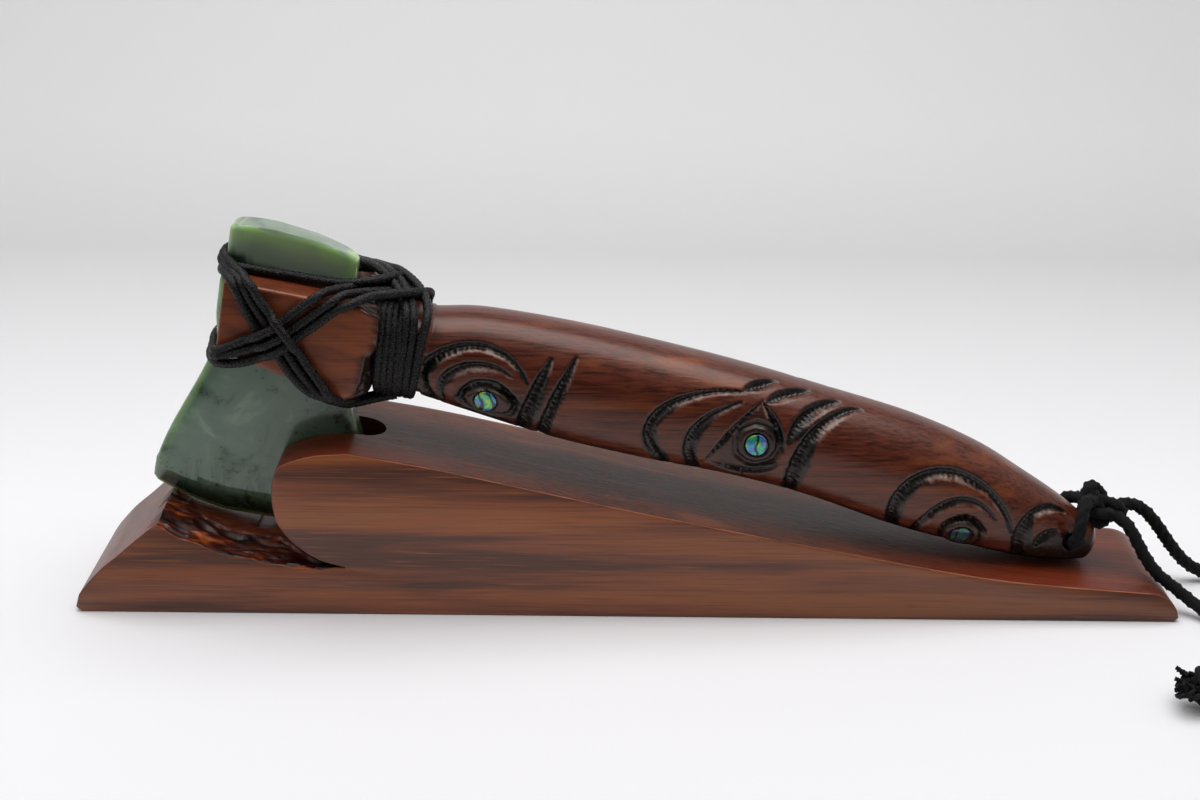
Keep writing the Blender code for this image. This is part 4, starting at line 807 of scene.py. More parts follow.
def stand_outline():
    """Dense outline in X and Z, the share along the notch's floor or -1 elsewhere, and how strongly its edge is
    painted as worn and lit.
    """
    left, right = -STAND_LENGTH / 2, STAND_LENGTH / 2
    radius = ((EDGE_WIDTH / 2) ** 2 + EDGE_SAG ** 2) / (2 * EDGE_SAG)
    floor = []
    for across in np.linspace(-RIDGE_FROM_EDGE, HOOK_FROM_EDGE, 8):
        sag = radius - math.sqrt(radius ** 2 - across ** 2)
        point = AXE @ Vector((across, 0, -EDGE_DOWN + sag))
        floor.append((point.x, point.z - FIT_GAP))
    tip_x, crest_x = EDGE_PLACE + TIP_FROM_EDGE, EDGE_PLACE + CREST_FROM_EDGE
    ridge = floor[0]
    floor = np.vstack([smooth_curve(floor, 8), [(tip_x, TIP_HEIGHT)]])
    floor = spaced(floor, 0.0005)
    slope = [(left + run * (ridge[0] - left), rise * ridge[1]) for run, rise in smooth_curve(LEFT_SLOPE, 6)]
    reach = (TIP_FROM_EDGE - HOOK_FROM_EDGE) / max(run for run, rise in HOOK_CURVE)
    hook = [(tip_x - run * reach, TIP_HEIGHT + rise * (CREST_HEIGHT - TIP_HEIGHT)) for run, rise in HOOK_CURVE]
    hook = spaced(smooth_curve(hook + [(crest_x, CREST_HEIGHT)], 12), 0.0007)[1:]
    toe_x = right - TOE_ROUND
    top = [(x, float(stand_top(x))) for x in np.linspace(crest_x, toe_x, 170)[1:]]
    toe = [(toe_x + TOE_ROUND * math.cos(a), TOE_HEIGHT * math.sin(a)) for a in np.radians(np.linspace(82, 9, 16))]
    under = [(x, 0.0) for x in np.linspace(right - FOOT_HEIGHT, left + FOOT_HEIGHT, 60)]
    parts = [[(left, FOOT_HEIGHT)], slope, floor, hook, top, toe, [(right, FOOT_HEIGHT * 0.8)], under]
    share = [np.full(len(part), -1.0) for part in parts]
    share[2] = np.linspace(0.0, 1.0, len(floor))
    rub_and_highlight = [np.full(len(part), amount) for part, amount in zip(parts, (0.0, 0.05, 0.70, 0.8, 0.8, 0.4, 0.0, 0.0))]
    return np.vstack([np.asarray(part, dtype=float) for part in parts]), np.concatenate(share), np.concatenate(rub_and_highlight)


def inward(outline):
    """Unit directions into the wood from each point of the outline."""
    ahead = np.roll(outline, -1, axis=0) - np.roll(outline, 1, axis=0)
    ahead /= np.linalg.norm(ahead, axis=1)[:, None]
    return np.column_stack([ahead[:, 1], -ahead[:, 0]])


def gouged(spots, y, share):
    """How far the floor of the notch is gouged at these points, and where its gouged part is."""
    gouge_x, gouge_y = np.array(GOUGE_LINE).T
    wander = 0.0009 * rough(spots, 0.006, 3.0, 2)
    inside = smooth_step(0.0, 0.0009, np.interp(spots[:, 0], gouge_x, gouge_y) + wander - y)
    cuts = np.abs(rough(spots * np.array([0.30, 1.0, 0.3]), 0.0034, 1.0, 2))
    chips = rough(spots, 0.0012, 8.0, 2)
    return inside * smooth_step(1.0, 0.85, share) * (0.0003 + 0.0016 * cuts + 0.00007 * chips), inside


def slot_cutter(material):
    """The slot that the blade's corner stands in, with a round end."""
    half = BLADE_THICKNESS / 2 + SLOT_SIDE_GAP
    corners = placed(np.vstack(blade_rings()))
    floor_z = corners[corners[:, 0] > EDGE_PLACE + HOOK_FROM_EDGE][:, 2].min() - FIT_GAP
    heel = corners[corners[:, 2] < CREST_HEIGHT][:, 0].max() + SLOT_END_GAP
    swing = np.linspace(-math.pi / 2, math.pi / 2, 25)
    plan = [(EDGE_PLACE, -half), *((heel - half + half * math.cos(a), half * math.sin(a)) for a in swing),
            (EDGE_PLACE, half)]
    slot = [(x, y, z) for z in (floor_z, 2 * CREST_HEIGHT) for x, y in plan]
    size = len(plan)
    caps = [tuple(range(size)), tuple(range(2 * size - 1, size - 1, -1))]
    return make_mesh("slot", slot, grid_faces(2, size), caps, material)


def build_stand(settings):
    """The stand: its outline drawn from front to back, the flare and gouges sunk into the notch's floor."""
    outline, share, rub_and_highlight = stand_outline()
    into = inward(outline)
    front, ease = -STAND_DEPTH / 2, 0.0004
    on_floor = share >= 0
    on_hook = (rub_and_highlight > 0.79) & (outline[:, 0] < EDGE_PLACE + CREST_FROM_EDGE)
    # Depth of each section and how far it is drawn in; they lie closest where the floor is gouged.
    rows = [(front, ease), (front + 0.3 * ease, 0.45 * ease), (front + ease, 0.0)]
    rows += [(y, 0.0) for y in np.arange(front + 2 * ease, GOUGE_BACK, GOUGE_STEP)]
    rows += [(y, 0.0) for y in np.linspace(0.0055, -front - ease, 12)]
    rows += [(-front - 0.3 * ease, 0.45 * ease), (-front, ease)]
    rub_and_highlight = np.where(on_hook, rub_and_highlight * (0.12 + 0.88 * smooth_step(0.047, 0.056, outline[:, 1])), rub_and_highlight)
    # Painted reflected light: red orange is painted where light comes back off the handle's butt on the toe, and off
    # the blade on the hook.
    toe_gap = 1 - smooth_step(0.02, 0.07, np.abs(outline[:, 0] - 0.135))
    hook_gap = 1 - smooth_step(0.0, 0.055, outline[:, 0] - (EDGE_PLACE + CREST_FROM_EDGE - 0.006))
    climbing = smooth_step(0.2, 0.8, -into[:, 1])
    scallop = 0.5 + 0.5 * np.cos(2 * math.pi * FLARE_GOUGES * share)
    fade = np.sin(math.pi * np.minimum(1.0, 0.10 + 0.62 * share)) * smooth_step(1.0, 0.74, share)
    points = []
    layers = {"gouge": [], "edge": [], "glow": [], "tip": []}
    for y, inset in rows:
        ring = outline + into * inset
        place = np.column_stack([ring[:, 0], np.full(len(ring), y), ring[:, 1]])
        drop, mask = np.zeros(len(ring)), np.zeros(len(ring))
        flare = 1 - min(1.0, (y - front) / FLARE_DEPTH) ** 1.6
        drop[on_floor] = (flare * FLARE_DROP * fade * (1 - 0.28 * scallop))[on_floor]
        sunk, mask[on_floor] = gouged(place[on_floor], y, share[on_floor])
        drop[on_floor] += sunk
        place[:, 2] -= drop
        points.append(place)
        layers["gouge"].append(mask)
        # Painted shade in the narrow tip of the notch's floor
        layers["tip"].append(np.where(on_floor, smooth_step(0.76, 0.88, share + 0.02 * rough(place, 0.003, 4.0, 2)),
                                      0.0))
        # Painted highlight: the rounded upper edges take the orange of rubbed wood, weakest on the slope, the hook's
        # lower curve and the back
        worn_edge_and_highlight = smooth_step(0.0, 0.4 * ease, inset)
        rubbed = np.clip(0.70 + 1.1 * rough(place * np.array([0.3, 1, 1]), 0.006, 5.0, 3), 0.0, 1.0)
        layers["edge"].append(worn_edge_and_highlight * rub_and_highlight * rubbed * (1.0 if y < 0 else 0.6))
        near_front = 1 - smooth_step(front + 0.004, front + 0.022, y)
        patchy = np.clip(0.75 + 0.8 * rough(place * np.array([0.25, 1, 1]), 0.008, 2.0, 2), 0.0, 1.0)
        layers["glow"].append(np.maximum(0.55 * hook_gap * near_front, 0.60 * toe_gap) * climbing * patchy)
    count = len(outline)
    last = (len(rows) - 1) * count
    caps = [tuple(range(count)), tuple(range(last + count - 1, last - 1, -1))]
    stand = make_mesh("stand_dressed", np.vstack(points), grid_faces(len(rows), count), caps, stand_wood(settings),
                      {label: np.concatenate(values) for label, values in layers.items()})
    cut(stand, slot_cutter(stand.data.materials[0]))
    stand.data.shade_smooth()
    stand.data.set_sharp_from_angle(angle=math.radians(40))
    belongs(stand, "stand")


# Blade


def stone_layers(flat):
    """Where the stone shows lime, pale, dark or a thin bright edge, at points in the blade's own frame; the dark on
    the bevel is painted shade.
    """
    x, y, z = flat.T
    rim_gap = np.array([blade_half_width(up) for up in z]) - np.abs(x)
    patch = rough(flat, 0.007, 2.0, 4)
    fleck = rough(flat, 0.0025, 6.0, 3)
    # How far each point lies under the poll's top, then the lime band below it, and the rims on the right and below
    crown = POLL_UP - POLL_SLOPE * x - POLL_CROWN * (2 * x / POLL_WIDTH) ** 2
    sunk = crown - z + 0.0005 * fleck - y * (POLL_LEAN[0] + POLL_LEAN[1] * x)
    band = smooth_step(0.0004, 0.0013, sunk) * (1 - smooth_step(0.0026, 0.0082, sunk + 0.0014 * patch))
    band *= np.clip(0.85 + 0.7 * fleck, 0, 1)
    right = smooth_step(0.0050, 0.0014, POLL_WIDTH / 2 - x + 0.0010 * patch) * smooth_step(-0.004, 0.008, z)
    low_rim = smooth_step(0.0026, 0.0004, rim_gap + 0.001 * patch) * (
        0.25 + 0.3 * smooth_step(-0.050, 0.0, z)) * np.clip(0.8 + 0.8 * patch, 0, 1)
    # The dark corner low on the left of the poll
    murk = (1 - smooth_step(-0.006, 0.004, x + 0.003 * patch)) * (
        1 - smooth_step(0.0125, 0.0143, z + 0.33 * x + 0.0008 * fleck)) * smooth_step(0.006, 0.010, z)
    over_edge = z - (-EDGE_DOWN + EDGE_SAG * (x / (EDGE_WIDTH / 2)) ** 2)
    # Painted shade: the bevel faces down, so it is painted dark as the shade and the stand's reflection in it
    bevel = smooth_step(1.15 * BEVEL, 0.35 * BEVEL, over_edge + 0.0008 * patch)
    return {"lime": np.clip(np.maximum(np.maximum(band, right * 0.85), low_rim), 0, 1),
            "poll": smooth_step(0.015, 0.017, z) * (1 - murk) * (0.35 + 0.55 * smooth_step(0.0004, 0.0012, sunk)),
            "bevel": np.maximum(0.92 * bevel, 0.8 * murk),
            "rim": 0.8 * smooth_step(0.0011, 0.0003, over_edge)}


def build_blade(settings):
    """The blade, section after section from poll to edge."""
    rings = blade_rings()
    count = len(rings[0])
    flat = np.vstack(rings)
    # Both ends are closed by strips that run straight from front to back.
    caps = [(start + k, start + k + 1, start + count - 2 - k, start + count - 1 - k)
            for start in (0, len(flat) - count) for k in range(count // 2 - 1)]
    blade = make_mesh("blade_dressed", placed(flat), grid_faces(len(rings), count), caps, stone_material(settings),
                      stone_layers(flat))
    blade.data.set_sharp_from_angle(angle=math.radians(62))
    belongs(blade, "greenstone_blade")


# Handle


def nearest_on(points, line):
    """Distance from each point to a line, and how far along the line that is, as a share."""
    start, step = line[:-1], np.diff(line, axis=0)
    offset = points[:, None, :] - start[None]
    share = np.clip((offset * step).sum(axis=2) / (step * step).sum(axis=1), 0.0, 1.0)
    gap = np.linalg.norm(offset - share[..., None] * step, axis=2)
    nearest = gap.argmin(axis=1)
    rows = np.arange(len(points))
    return gap[rows, nearest], (nearest + share[rows, nearest]) / len(step)


def carve(points, carving):
    """Depth of the carving, its paint and its pale facets at each point of the handle; the facets are painted paler
    where they face up, as a highlight.
    """
    depth, paint, bare_wood_and_highlight = (np.zeros(len(points)) for _ in range(3))
    grit = rough(points, 0.0014, 4.0, 3)
    facet = rough(points * np.array([1.0, 0.6, 1.0]), 0.0034, 9.0, 2)
    stretch = rough(points, 0.0090, 12.0, 2)
    top, bottom = section(points[:, 0])[:2]
    share_along, share_up = points[:, 0] / REACH, (points[:, 2] - bottom) / (top - bottom)
    for name, (wide, deep, centre, radii, angles) in GROOVES.items():
        swing = np.radians(np.linspace(angles[0], angles[1], 60))
        along, up = centre[0] + radii[0] * np.cos(swing), centre[1] + radii[1] * np.sin(swing)
        round_centre = np.hypot((share_along - centre[0]) / radii[0], (share_up - centre[1]) / radii[1])
        for side in ((-1.0,) if name in FRONT_ONLY else (-1.0, 1.0)):
            line = on_side(along, up, side)
            reach = 1.6 * carving.width
            near = np.all((points > line.min(axis=0) - reach) & (points < line.max(axis=0) + reach), axis=1)
            gap, share = nearest_on(points[near], line)
            cuts = np.sin(2 * math.pi * share * path_length(line) / carving.chisel + 3.5 * stretch[near])
            opened = 0.30 if name in OPEN_ENDED else 0.04
            taper = np.maximum(0.12, np.sin(math.pi * np.clip(opened + (0.96 - opened) * share, 0, 1)) ** 0.6)
            facing_up = smooth_step(0.30, 0.85, np.sin(np.radians(angles[0] + share * (angles[1] - angles[0]))))
            half = 0.5 * carving.width * wide * taper
            across = np.where(round_centre[near] > 1, gap, -gap) / half + 0.13 * grit[near] + 0.04 * cuts
            outer, inner = np.maximum(across, 0.0), np.maximum(-across, 0.0)
            cut_in = (1 - smooth_step(0.15, 0.80, outer)) * (1 - smooth_step(0.15, 1.55, inner))
            here = carving.depth * deep * taper * cut_in * (1 + 0.16 * grit[near] + 0.12 * cuts)
            depth[near] = np.maximum(depth[near], here)
            bare = 0.30 + 0.75 * np.clip(0.45 - 1.1 * stretch[near] - 0.5 * facet[near], 0, 1)
            # Where a groove faces down its black reaches further in, as painted shade; where it faces up its bare
            # facets are painted pale, as a highlight
            bare += 1.1 * (1 - facing_up)
            black = (1 - smooth_step(0.82, 1.02, outer)) * (1 - smooth_step(bare, bare + 0.22, inner))
            paint[near] = np.maximum(paint[near], black)
            lit = smooth_step(bare, bare + 0.25, inner) * (1 - smooth_step(1.38, 1.60, inner + 0.15 * grit[near]))
            lit *= facing_up * smooth_step(-0.35, 0.20, facet[near] + 0.25 * grit[near])
            bare_wood_and_highlight[near] = np.maximum(bare_wood_and_highlight[near], lit)
    return depth, paint, bare_wood_and_highlight


def around_eyes(points):
    """Height of the ring left standing round each disc, the black outside it and the dark of the ring."""
    height, paint, dark = np.zeros(len(points)), np.zeros(len(points)), np.zeros(len(points))
    uneven = 0.15 * rough(points, 0.0032, 21.0, 3)
    for name, (share_along, share_up) in EYES.items():
        stretch = np.array([0.80, 1.0, 1.45]) if name == "first" else np.ones(3)
        ahead = np.array([0.0009 if name == "first" else 0.0, 0.0, 0.0])
        for side in (-1.0, 1.0):
            offset = points - on_side(share_along, share_up, side)
            true_gap = np.linalg.norm(offset, axis=1) / (EYE_DIAMETER / 2)
            gap = np.linalg.norm((offset - ahead) * stretch, axis=1) / (EYE_DIAMETER / 2) + uneven
            height += 0.0006 * smooth_step(1.0, 1.2, true_gap) * (1 - smooth_step(1.50, 1.80, gap))
            height -= 0.0011 * (1 - smooth_step(0.98, 1.08, true_gap))
            height -= 0.0009 * smooth_step(1.65, 1.95, gap) * (1 - smooth_step(2.05, 2.50, gap))
            wide = 2.75 if name == "first" else 2.35
            paint = np.maximum(paint, smooth_step(1.62, 1.80, gap) * (1 - smooth_step(wide - 0.3, wide, gap)))
            dark = np.maximum(dark, 0.75 * (1 - smooth_step(1.6, 1.9, gap)))
    return height, paint, dark


def hollowed(points):
    """How far the front is sunk between the lids of the middle eye, from 0 to 1."""
    outline = []
    for name, turned in (("middle_brow", False), ("middle_brow_back", False), ("middle_under_lid", True)):
        centre, radii, angles = GROOVES[name][2:]
        swing = np.radians(np.linspace(*(angles[::-1] if turned else angles), 16))
        outline.append(np.column_stack([centre[0] + radii[0] * np.cos(swing), centre[1] + radii[1] * np.sin(swing)]))
    outline = np.vstack(outline)
    closed = np.vstack([outline, outline[:1]])
    top, bottom = section(points[:, 0])[:2]
    spot = np.column_stack([points[:, 0] / REACH, (points[:, 2] - bottom) / (top - bottom)])
    turned = np.zeros(len(points))
    for start, end in zip(closed[:-1], closed[1:]):
        first, second = start - spot, end - spot
        turned += np.arctan2(first[:, 0] * second[:, 1] - first[:, 1] * second[:, 0], (first * second).sum(axis=1))
    within = (np.abs(turned) > math.pi) & (points[:, 1] < 0)
    gap = np.ones(len(points))
    gap[within] = nearest_on(points[within], on_side(closed[:, 0], closed[:, 1]))[0]
    return within * smooth_step(0.0, 0.0012, gap)


def handle_grid():
    """Sections of the handle from its square end to the butt, both ends drawn in."""
    first = even_ring(-HEAD_FRONT)
    middle = first.mean(axis=0)
    rings = [middle + (first - middle) * np.array([0.0, shrink, shrink]) for shrink in (0.04, 0.35, 0.7, 0.9)]
    for turn in np.linspace(0.0, math.pi / 2, 5):
        rings.append(even_ring(-HEAD_FRONT + END_ROUND * (1 - math.cos(turn)), -END_ROUND * (1 - math.sin(turn))))
    last = GRIP_FORM[-1][0] * REACH
    # Sections lie closest along the carved grip.
    places = np.concatenate([np.linspace(-HEAD_FRONT + 2 * END_ROUND, HEAD_BACK - 0.0004, 46),
                             np.linspace(HEAD_BACK, NECK_START, 12),
                             np.linspace(NECK_START + 0.0010, NECK_START + NECK_LENGTH, 12),
                             np.linspace(NECK_START + NECK_LENGTH + 0.0006, last, 412)])
    rings += [even_ring(place) for place in places]
    end = rings[-1]
    middle = end.mean(axis=0)
    for turn in np.linspace(0.08, math.pi / 2, 13):
        shrink = math.cos(turn) * 0.89 + 0.10
        ring = middle + (end - middle) * np.array([1.0, shrink, shrink])
        ring[:, 0] = last + math.sin(turn) * (REACH - last)
        rings.append(ring)
    return np.array(rings)


def directions_out(grid):
    """Unit directions out of the surface at each point of a grid of rings."""
    out = np.cross(np.gradient(grid, axis=0), np.roll(grid, -1, axis=1) - np.roll(grid, 1, axis=1))
    out /= np.maximum(np.linalg.norm(out, axis=2), 1e-12)[..., None]
    if (out[..., 1] * grid[..., 1]).sum() < 0:
        out = -out
    return out.reshape(-1, 3)


def build_handle(wood, carving):
    """The handle: its carving, chopped shoulder and cord hole sunk into its sections, then its stain, worn places,
    and painted highlights and shade.
    """
    grid = handle_grid()
    points, out = grid.reshape(-1, 3), directions_out(grid)
    along = points[:, 0]
    share_along = along / REACH
    top, bottom, half = section(along)[:3]
    high, rise = np.abs(points[:, 1]) / half, (points[:, 2] - bottom) / (top - bottom)
    fuzz = rough(points, 0.0050, 15.0, 3)
    hacked = rough(points, 0.0030, 6.0, 3)
    head = 1 - smooth_step(HEAD_BACK - 0.0005, HEAD_BACK + 0.001, along)
    shoulder = smooth_step(HEAD_BACK - 0.0030, HEAD_BACK + 0.0006, along) * (
        1 - smooth_step(NECK_START + 0.001, NECK_START + 0.003, along))

    # Carved lines, eyes, cord hole and the hacked end of the head
    depth, paint, bare_wood_and_highlight, hollow, ring_dark = np.zeros((5, len(points)))
    grip = along > NECK_START + 0.5 * NECK_LENGTH
    depth[grip], paint[grip], bare_wood_and_highlight[grip] = carve(points[grip], carving)
    height, socket, ring_dark[grip] = around_eyes(points[grip])
    hollow[grip] = hollowed(points[grip])
    depth[grip] = np.maximum(depth[grip], 0.0007 * hollow[grip]) - height
    paint[grip] = np.maximum(paint[grip], socket)
    bare_wood_and_highlight[grip] *= 1 - np.maximum(socket, ring_dark[grip])
    hole_along, hole_up = cord_hole()
    bore = np.hypot(along - hole_along, points[:, 2] - hole_up)
    pit = (1 - smooth_step(0.0024, 0.0034, bore)) * smooth_step(0.002, 0.004, np.abs(points[:, 1]))
    depth += 0.0030 * pit
    paint = np.maximum(paint, pit)
    depth += shoulder * 0.0011 * np.maximum(0.0, hacked)

    # Rubbed corner of the head, painted pale as worn wood and as a highlight; thin stain of the head; pale chips on
    # its chopped end
    corner = smooth_step(0.955, 0.99, high) * smooth_step(0.965, 0.995, rise)
    edge = head * corner * np.clip(0.8 + 0.8 * rough(points, 0.006, 7.0, 2), 0, 1)
    bare_head = head * np.clip(0.72 + 0.9 * rough(points * np.array([0.35, 1.0, 1.0]), 0.0045, 3.0, 3), 0.15, 1)
    bare_head *= 1 - 0.6 * smooth_step(0.955, 0.99, rise)
    # Pale bare chips kept to the upper part of the chopped end, painted as a highlight where light catches them
    bare_wood_and_highlight = np.maximum(bare_wood_and_highlight, smooth_step(0.25, 0.5, hacked) * shoulder * smooth_step(0.35, 0.6, rise))

    # Black that ran over the butt and under the first eye, and painted shade along the underside
    stained = np.interp(share_along, (0.89, 0.93, 0.96, 1.0), (0.28, 0.44, 0.60, 0.64))
    end_stain = smooth_step(0.893, 0.906, share_along + 0.008 * fuzz) * (
        1 - smooth_step(stained, stained + 0.14, rise + 0.10 * fuzz)) * (1 - smooth_step(0.9885, 0.9945, share_along))
    paint = np.maximum(paint, 0.97 * end_stain)
    under_eye = smooth_step(0.160, 0.175, share_along) * (1 - smooth_step(0.325, 0.340, share_along))
    paint = np.maximum(paint, 0.9 * under_eye * (1 - smooth_step(0.07, 0.13, rise + 0.04 * fuzz)))
    # Painted shade along the handle's underside
    underside_shade = 0.7 * (1 - head) * (1 - smooth_step(0.03, 0.14, rise))
    dark = np.maximum(np.maximum(np.maximum(shoulder * 0.95, end_stain), underside_shade), ring_dark)

    # The chopped end runs aslant, so the sections near it are drawn along with it.
    slant = np.interp(points[:, 2], *np.array(SHOULDER_LINE).T)
    held = smooth_step(0.008, HEAD_BACK, along) * (1 - 0.9 * smooth_step(HEAD_BACK, NECK_START, along))
    held *= 1 - smooth_step(NECK_START, NECK_START + 0.004, along)
    points = points - out * depth[:, None]
    points[:, 0] += slant * held
    start = len(points) - HANDLE_POINTS
    caps = [tuple(range(HANDLE_POINTS)), tuple(range(len(points) - 1, start - 1, -1))]
    layers = {"paint": paint, "bare_wood_and_highlight": bare_wood_and_highlight, "edge": edge, "dark": dark, "head": bare_head,
              "hollow": 0.8 * hollow * np.clip(0.9 + 0.9 * fuzz, 0, 1)}
    handle = make_mesh("handle_dressed", placed(points), grid_faces(len(grid), HANDLE_POINTS), caps,
                       handle_wood(wood), layers)
    handle.data.set_sharp_from_angle(angle=math.radians(60))
    belongs(handle, "handle")


def build_eyes():
    """Domed discs, each turned to lie in the handle's side."""
    material = paua_material()
    radius, nudge = EYE_DIAMETER / 2, 0.002
    swing = 2 * math.pi * np.arange(EYE_POINTS) / EYE_POINTS
    disc = np.vstack([np.column_stack([radius * share * np.cos(swing), radius * share * np.sin(swing),
                                       np.full(EYE_POINTS, rise * MM)]) for share, rise in EYE_PROFILE])
    quads = grid_faces(len(EYE_PROFILE), EYE_POINTS)
    caps = [tuple(range(EYE_POINTS)), tuple(range(len(disc) - 1, len(disc) - EYE_POINTS - 1, -1))]
    for name, (share_along, share_up) in EYES.items():
        # The last disc lies in the shade near the butt, so its shell is painted darker as that shade.
        stain = np.full(len(disc), 0.72 if name == "last" else 0.0)
        for label, side in (("front", -1.0), ("back", 1.0)):
            centre = on_side(share_along, share_up, side)
            by_along = on_side(share_along + nudge, share_up, side) - on_side(share_along - nudge, share_up, side)
            by_up = on_side(share_along, share_up + nudge, side) - on_side(share_along, share_up - nudge, side)
            out = np.cross(by_along, by_up)
            out *= np.sign(out[1] * side) / np.linalg.norm(out)
            turn = Vector(out).to_track_quat("Z", "X").to_matrix().to_4x4()
            eye = make_mesh(f"eye_{name}_{label}", placed(disc, AXE @ Matrix.Translation(centre) @ turn), quads, caps,
                            material, {"stain": stain})
            eye.data.set_sharp_from_angle(angle=math.radians(45))
            belongs(eye, f"paua_eye_{name}_{label}")


# Lashing


def mirrored(points):
    """The same points on the other side of the blade."""
    return [(x, -y, z) for x, y, z in points]


def neck_arc(start, end, passes, grow):
    """Points round the neck from one turn to another, in degrees from the top towards the back."""
    turn = np.arange(start, end, 12.0)
    along = np.interp(turn, *passes)
    cos, sin = np.cos(np.radians(turn)), np.sin(np.radians(turn))
    power = 2 / NECK_SQUARE
    y = (NECK_WIDTH / 2 / MM + grow) * np.sign(sin) * np.abs(sin) ** power
    middle, reach = (NECK_TOP - NECK_DROP) / 2 / MM, (NECK_TOP + NECK_DROP) / 2 / MM + grow
    z = middle + reach * np.sign(cos) * np.abs(cos) ** power
    return np.column_stack([along, y, z])


def laid_over(line, others, thick):
    """Lifts a strand off the cheeks where it crosses strands that were wound before it."""
    lift = np.zeros(len(line))
    for side in (-1.0, 1.0):
        mine = np.flatnonzero(line[:, 1] * side > NEAR_CHEEK)
        for other in others:
            under = other[other[:, 1] * side > NEAR_CHEEK]
            if not len(under) or not len(mine):
                continue
            gap = np.linalg.norm(line[mine][:, None, ::2] - under[None, :, ::2], axis=2)
            nearest = gap.argmin(axis=1)
            raised = under[nearest, 1] * side - ON_CHEEK + 0.72 * thick
            share = smooth_step(1.45 * thick, 0.35 * thick, gap[np.arange(len(mine)), nearest])
            lift[mine] = np.maximum(lift[mine], raised * share)
    line[:, 1] += lift * np.sign(line[:, 1])
    return line


def build_lashing(cord):
    """Every strand of the lashing in the order of winding, the later ones lifted over the earlier ones."""
    d = cord.lash
    grow, step = 0.42 * d / MM, 0.4 * d
    wound = []
    for half in FALLING:
        loop = list(half) + mirrored(half[-2:0:-1])
        wound.append(spaced(smooth_curve(np.array(loop) * MM, 8, True), step)[:-1])
    rising = []
    for front, again, (back_pass, under_pass, front_pass) in zip(RISING, OVER_AGAIN, NECK_PASSES):
        passes = ((35, 90, 180, 270, 300), (back_pass, back_pass, under_pass, front_pass, front_pass))
        loop = np.vstack([front, neck_arc(40, 296, passes, grow), again, mirrored(front[9:0:-1])])
        rising.append(spaced(smooth_curve(loop * MM, 8, True), step)[:-1])
    lower, last = wound[:2], wound[2]
    rising = [laid_over(line, lower, d) for line in rising]
    loops = lower + rising + [laid_over(last, lower + rising, d)]
    helix = neck_arc(*NECK_TURNS, (NECK_TURNS, NECK_RUN), grow)
    # The neck's winding leans away from the head on the side and underneath.
    helix[:, 0] += 1.45 * (1 - np.cos(np.radians(np.arange(*NECK_TURNS, 12.0))))
    single = [smooth_curve(np.array(strand) * MM) for strand in (POLL_TURN, *UNDER_HEAD)]
    satin = cord_material("Satin braided nylon", cord.satin, 0.24, rgb("#453e41"), 0.00055, 0.65)
    lashing = swept("lashing_strands", [placed(path) for path in (*loops, helix * MM, *single)], satin, d,
                    closed=range(len(loops)), sides=14, plies=8, lobe=0.05, lay=0.012)
    belongs(lashing, "lashing")


# Wrist cord


def knot_path(centre, size, turn):
    """Closed path of an overhand knot drawn up tight."""
    t = np.linspace(0.0, 2 * math.pi, 90, endpoint=False)
    shape = np.column_stack([np.sin(t) + 2 * np.sin(2 * t), np.cos(t) - 2 * np.cos(2 * t), -1.25 * np.sin(3 * t)])
    return placed(shape * np.array(size), Matrix.Translation(centre) @ turn)


def frayed(centre, count, reach):
    """Short curled threads that stand out of the knot at the cord's ends."""
    rng = np.random.default_rng(11)
    threads = []
    for _ in range(count):
        swing, lift = rng.uniform(-1.2, 1.2), rng.uniform(-0.35, 0.5)
        heading = np.array([-math.cos(swing) * math.cos(lift), math.sin(swing), math.sin(lift)])
        start = np.array(centre) + 0.0020 * heading + rng.normal(0.0, 0.0015, 3)
        curl = rng.normal(0.0, 1.0, 3) * 0.35
        run = np.linspace(0.0, reach * rng.uniform(0.55, 1.0), 9)[:, None]
        line = start + heading * run + curl * run ** 2 / reach
        line[:, 2] = np.maximum(line[:, 2], 0.0008)
        threads.append(line)
    return threads


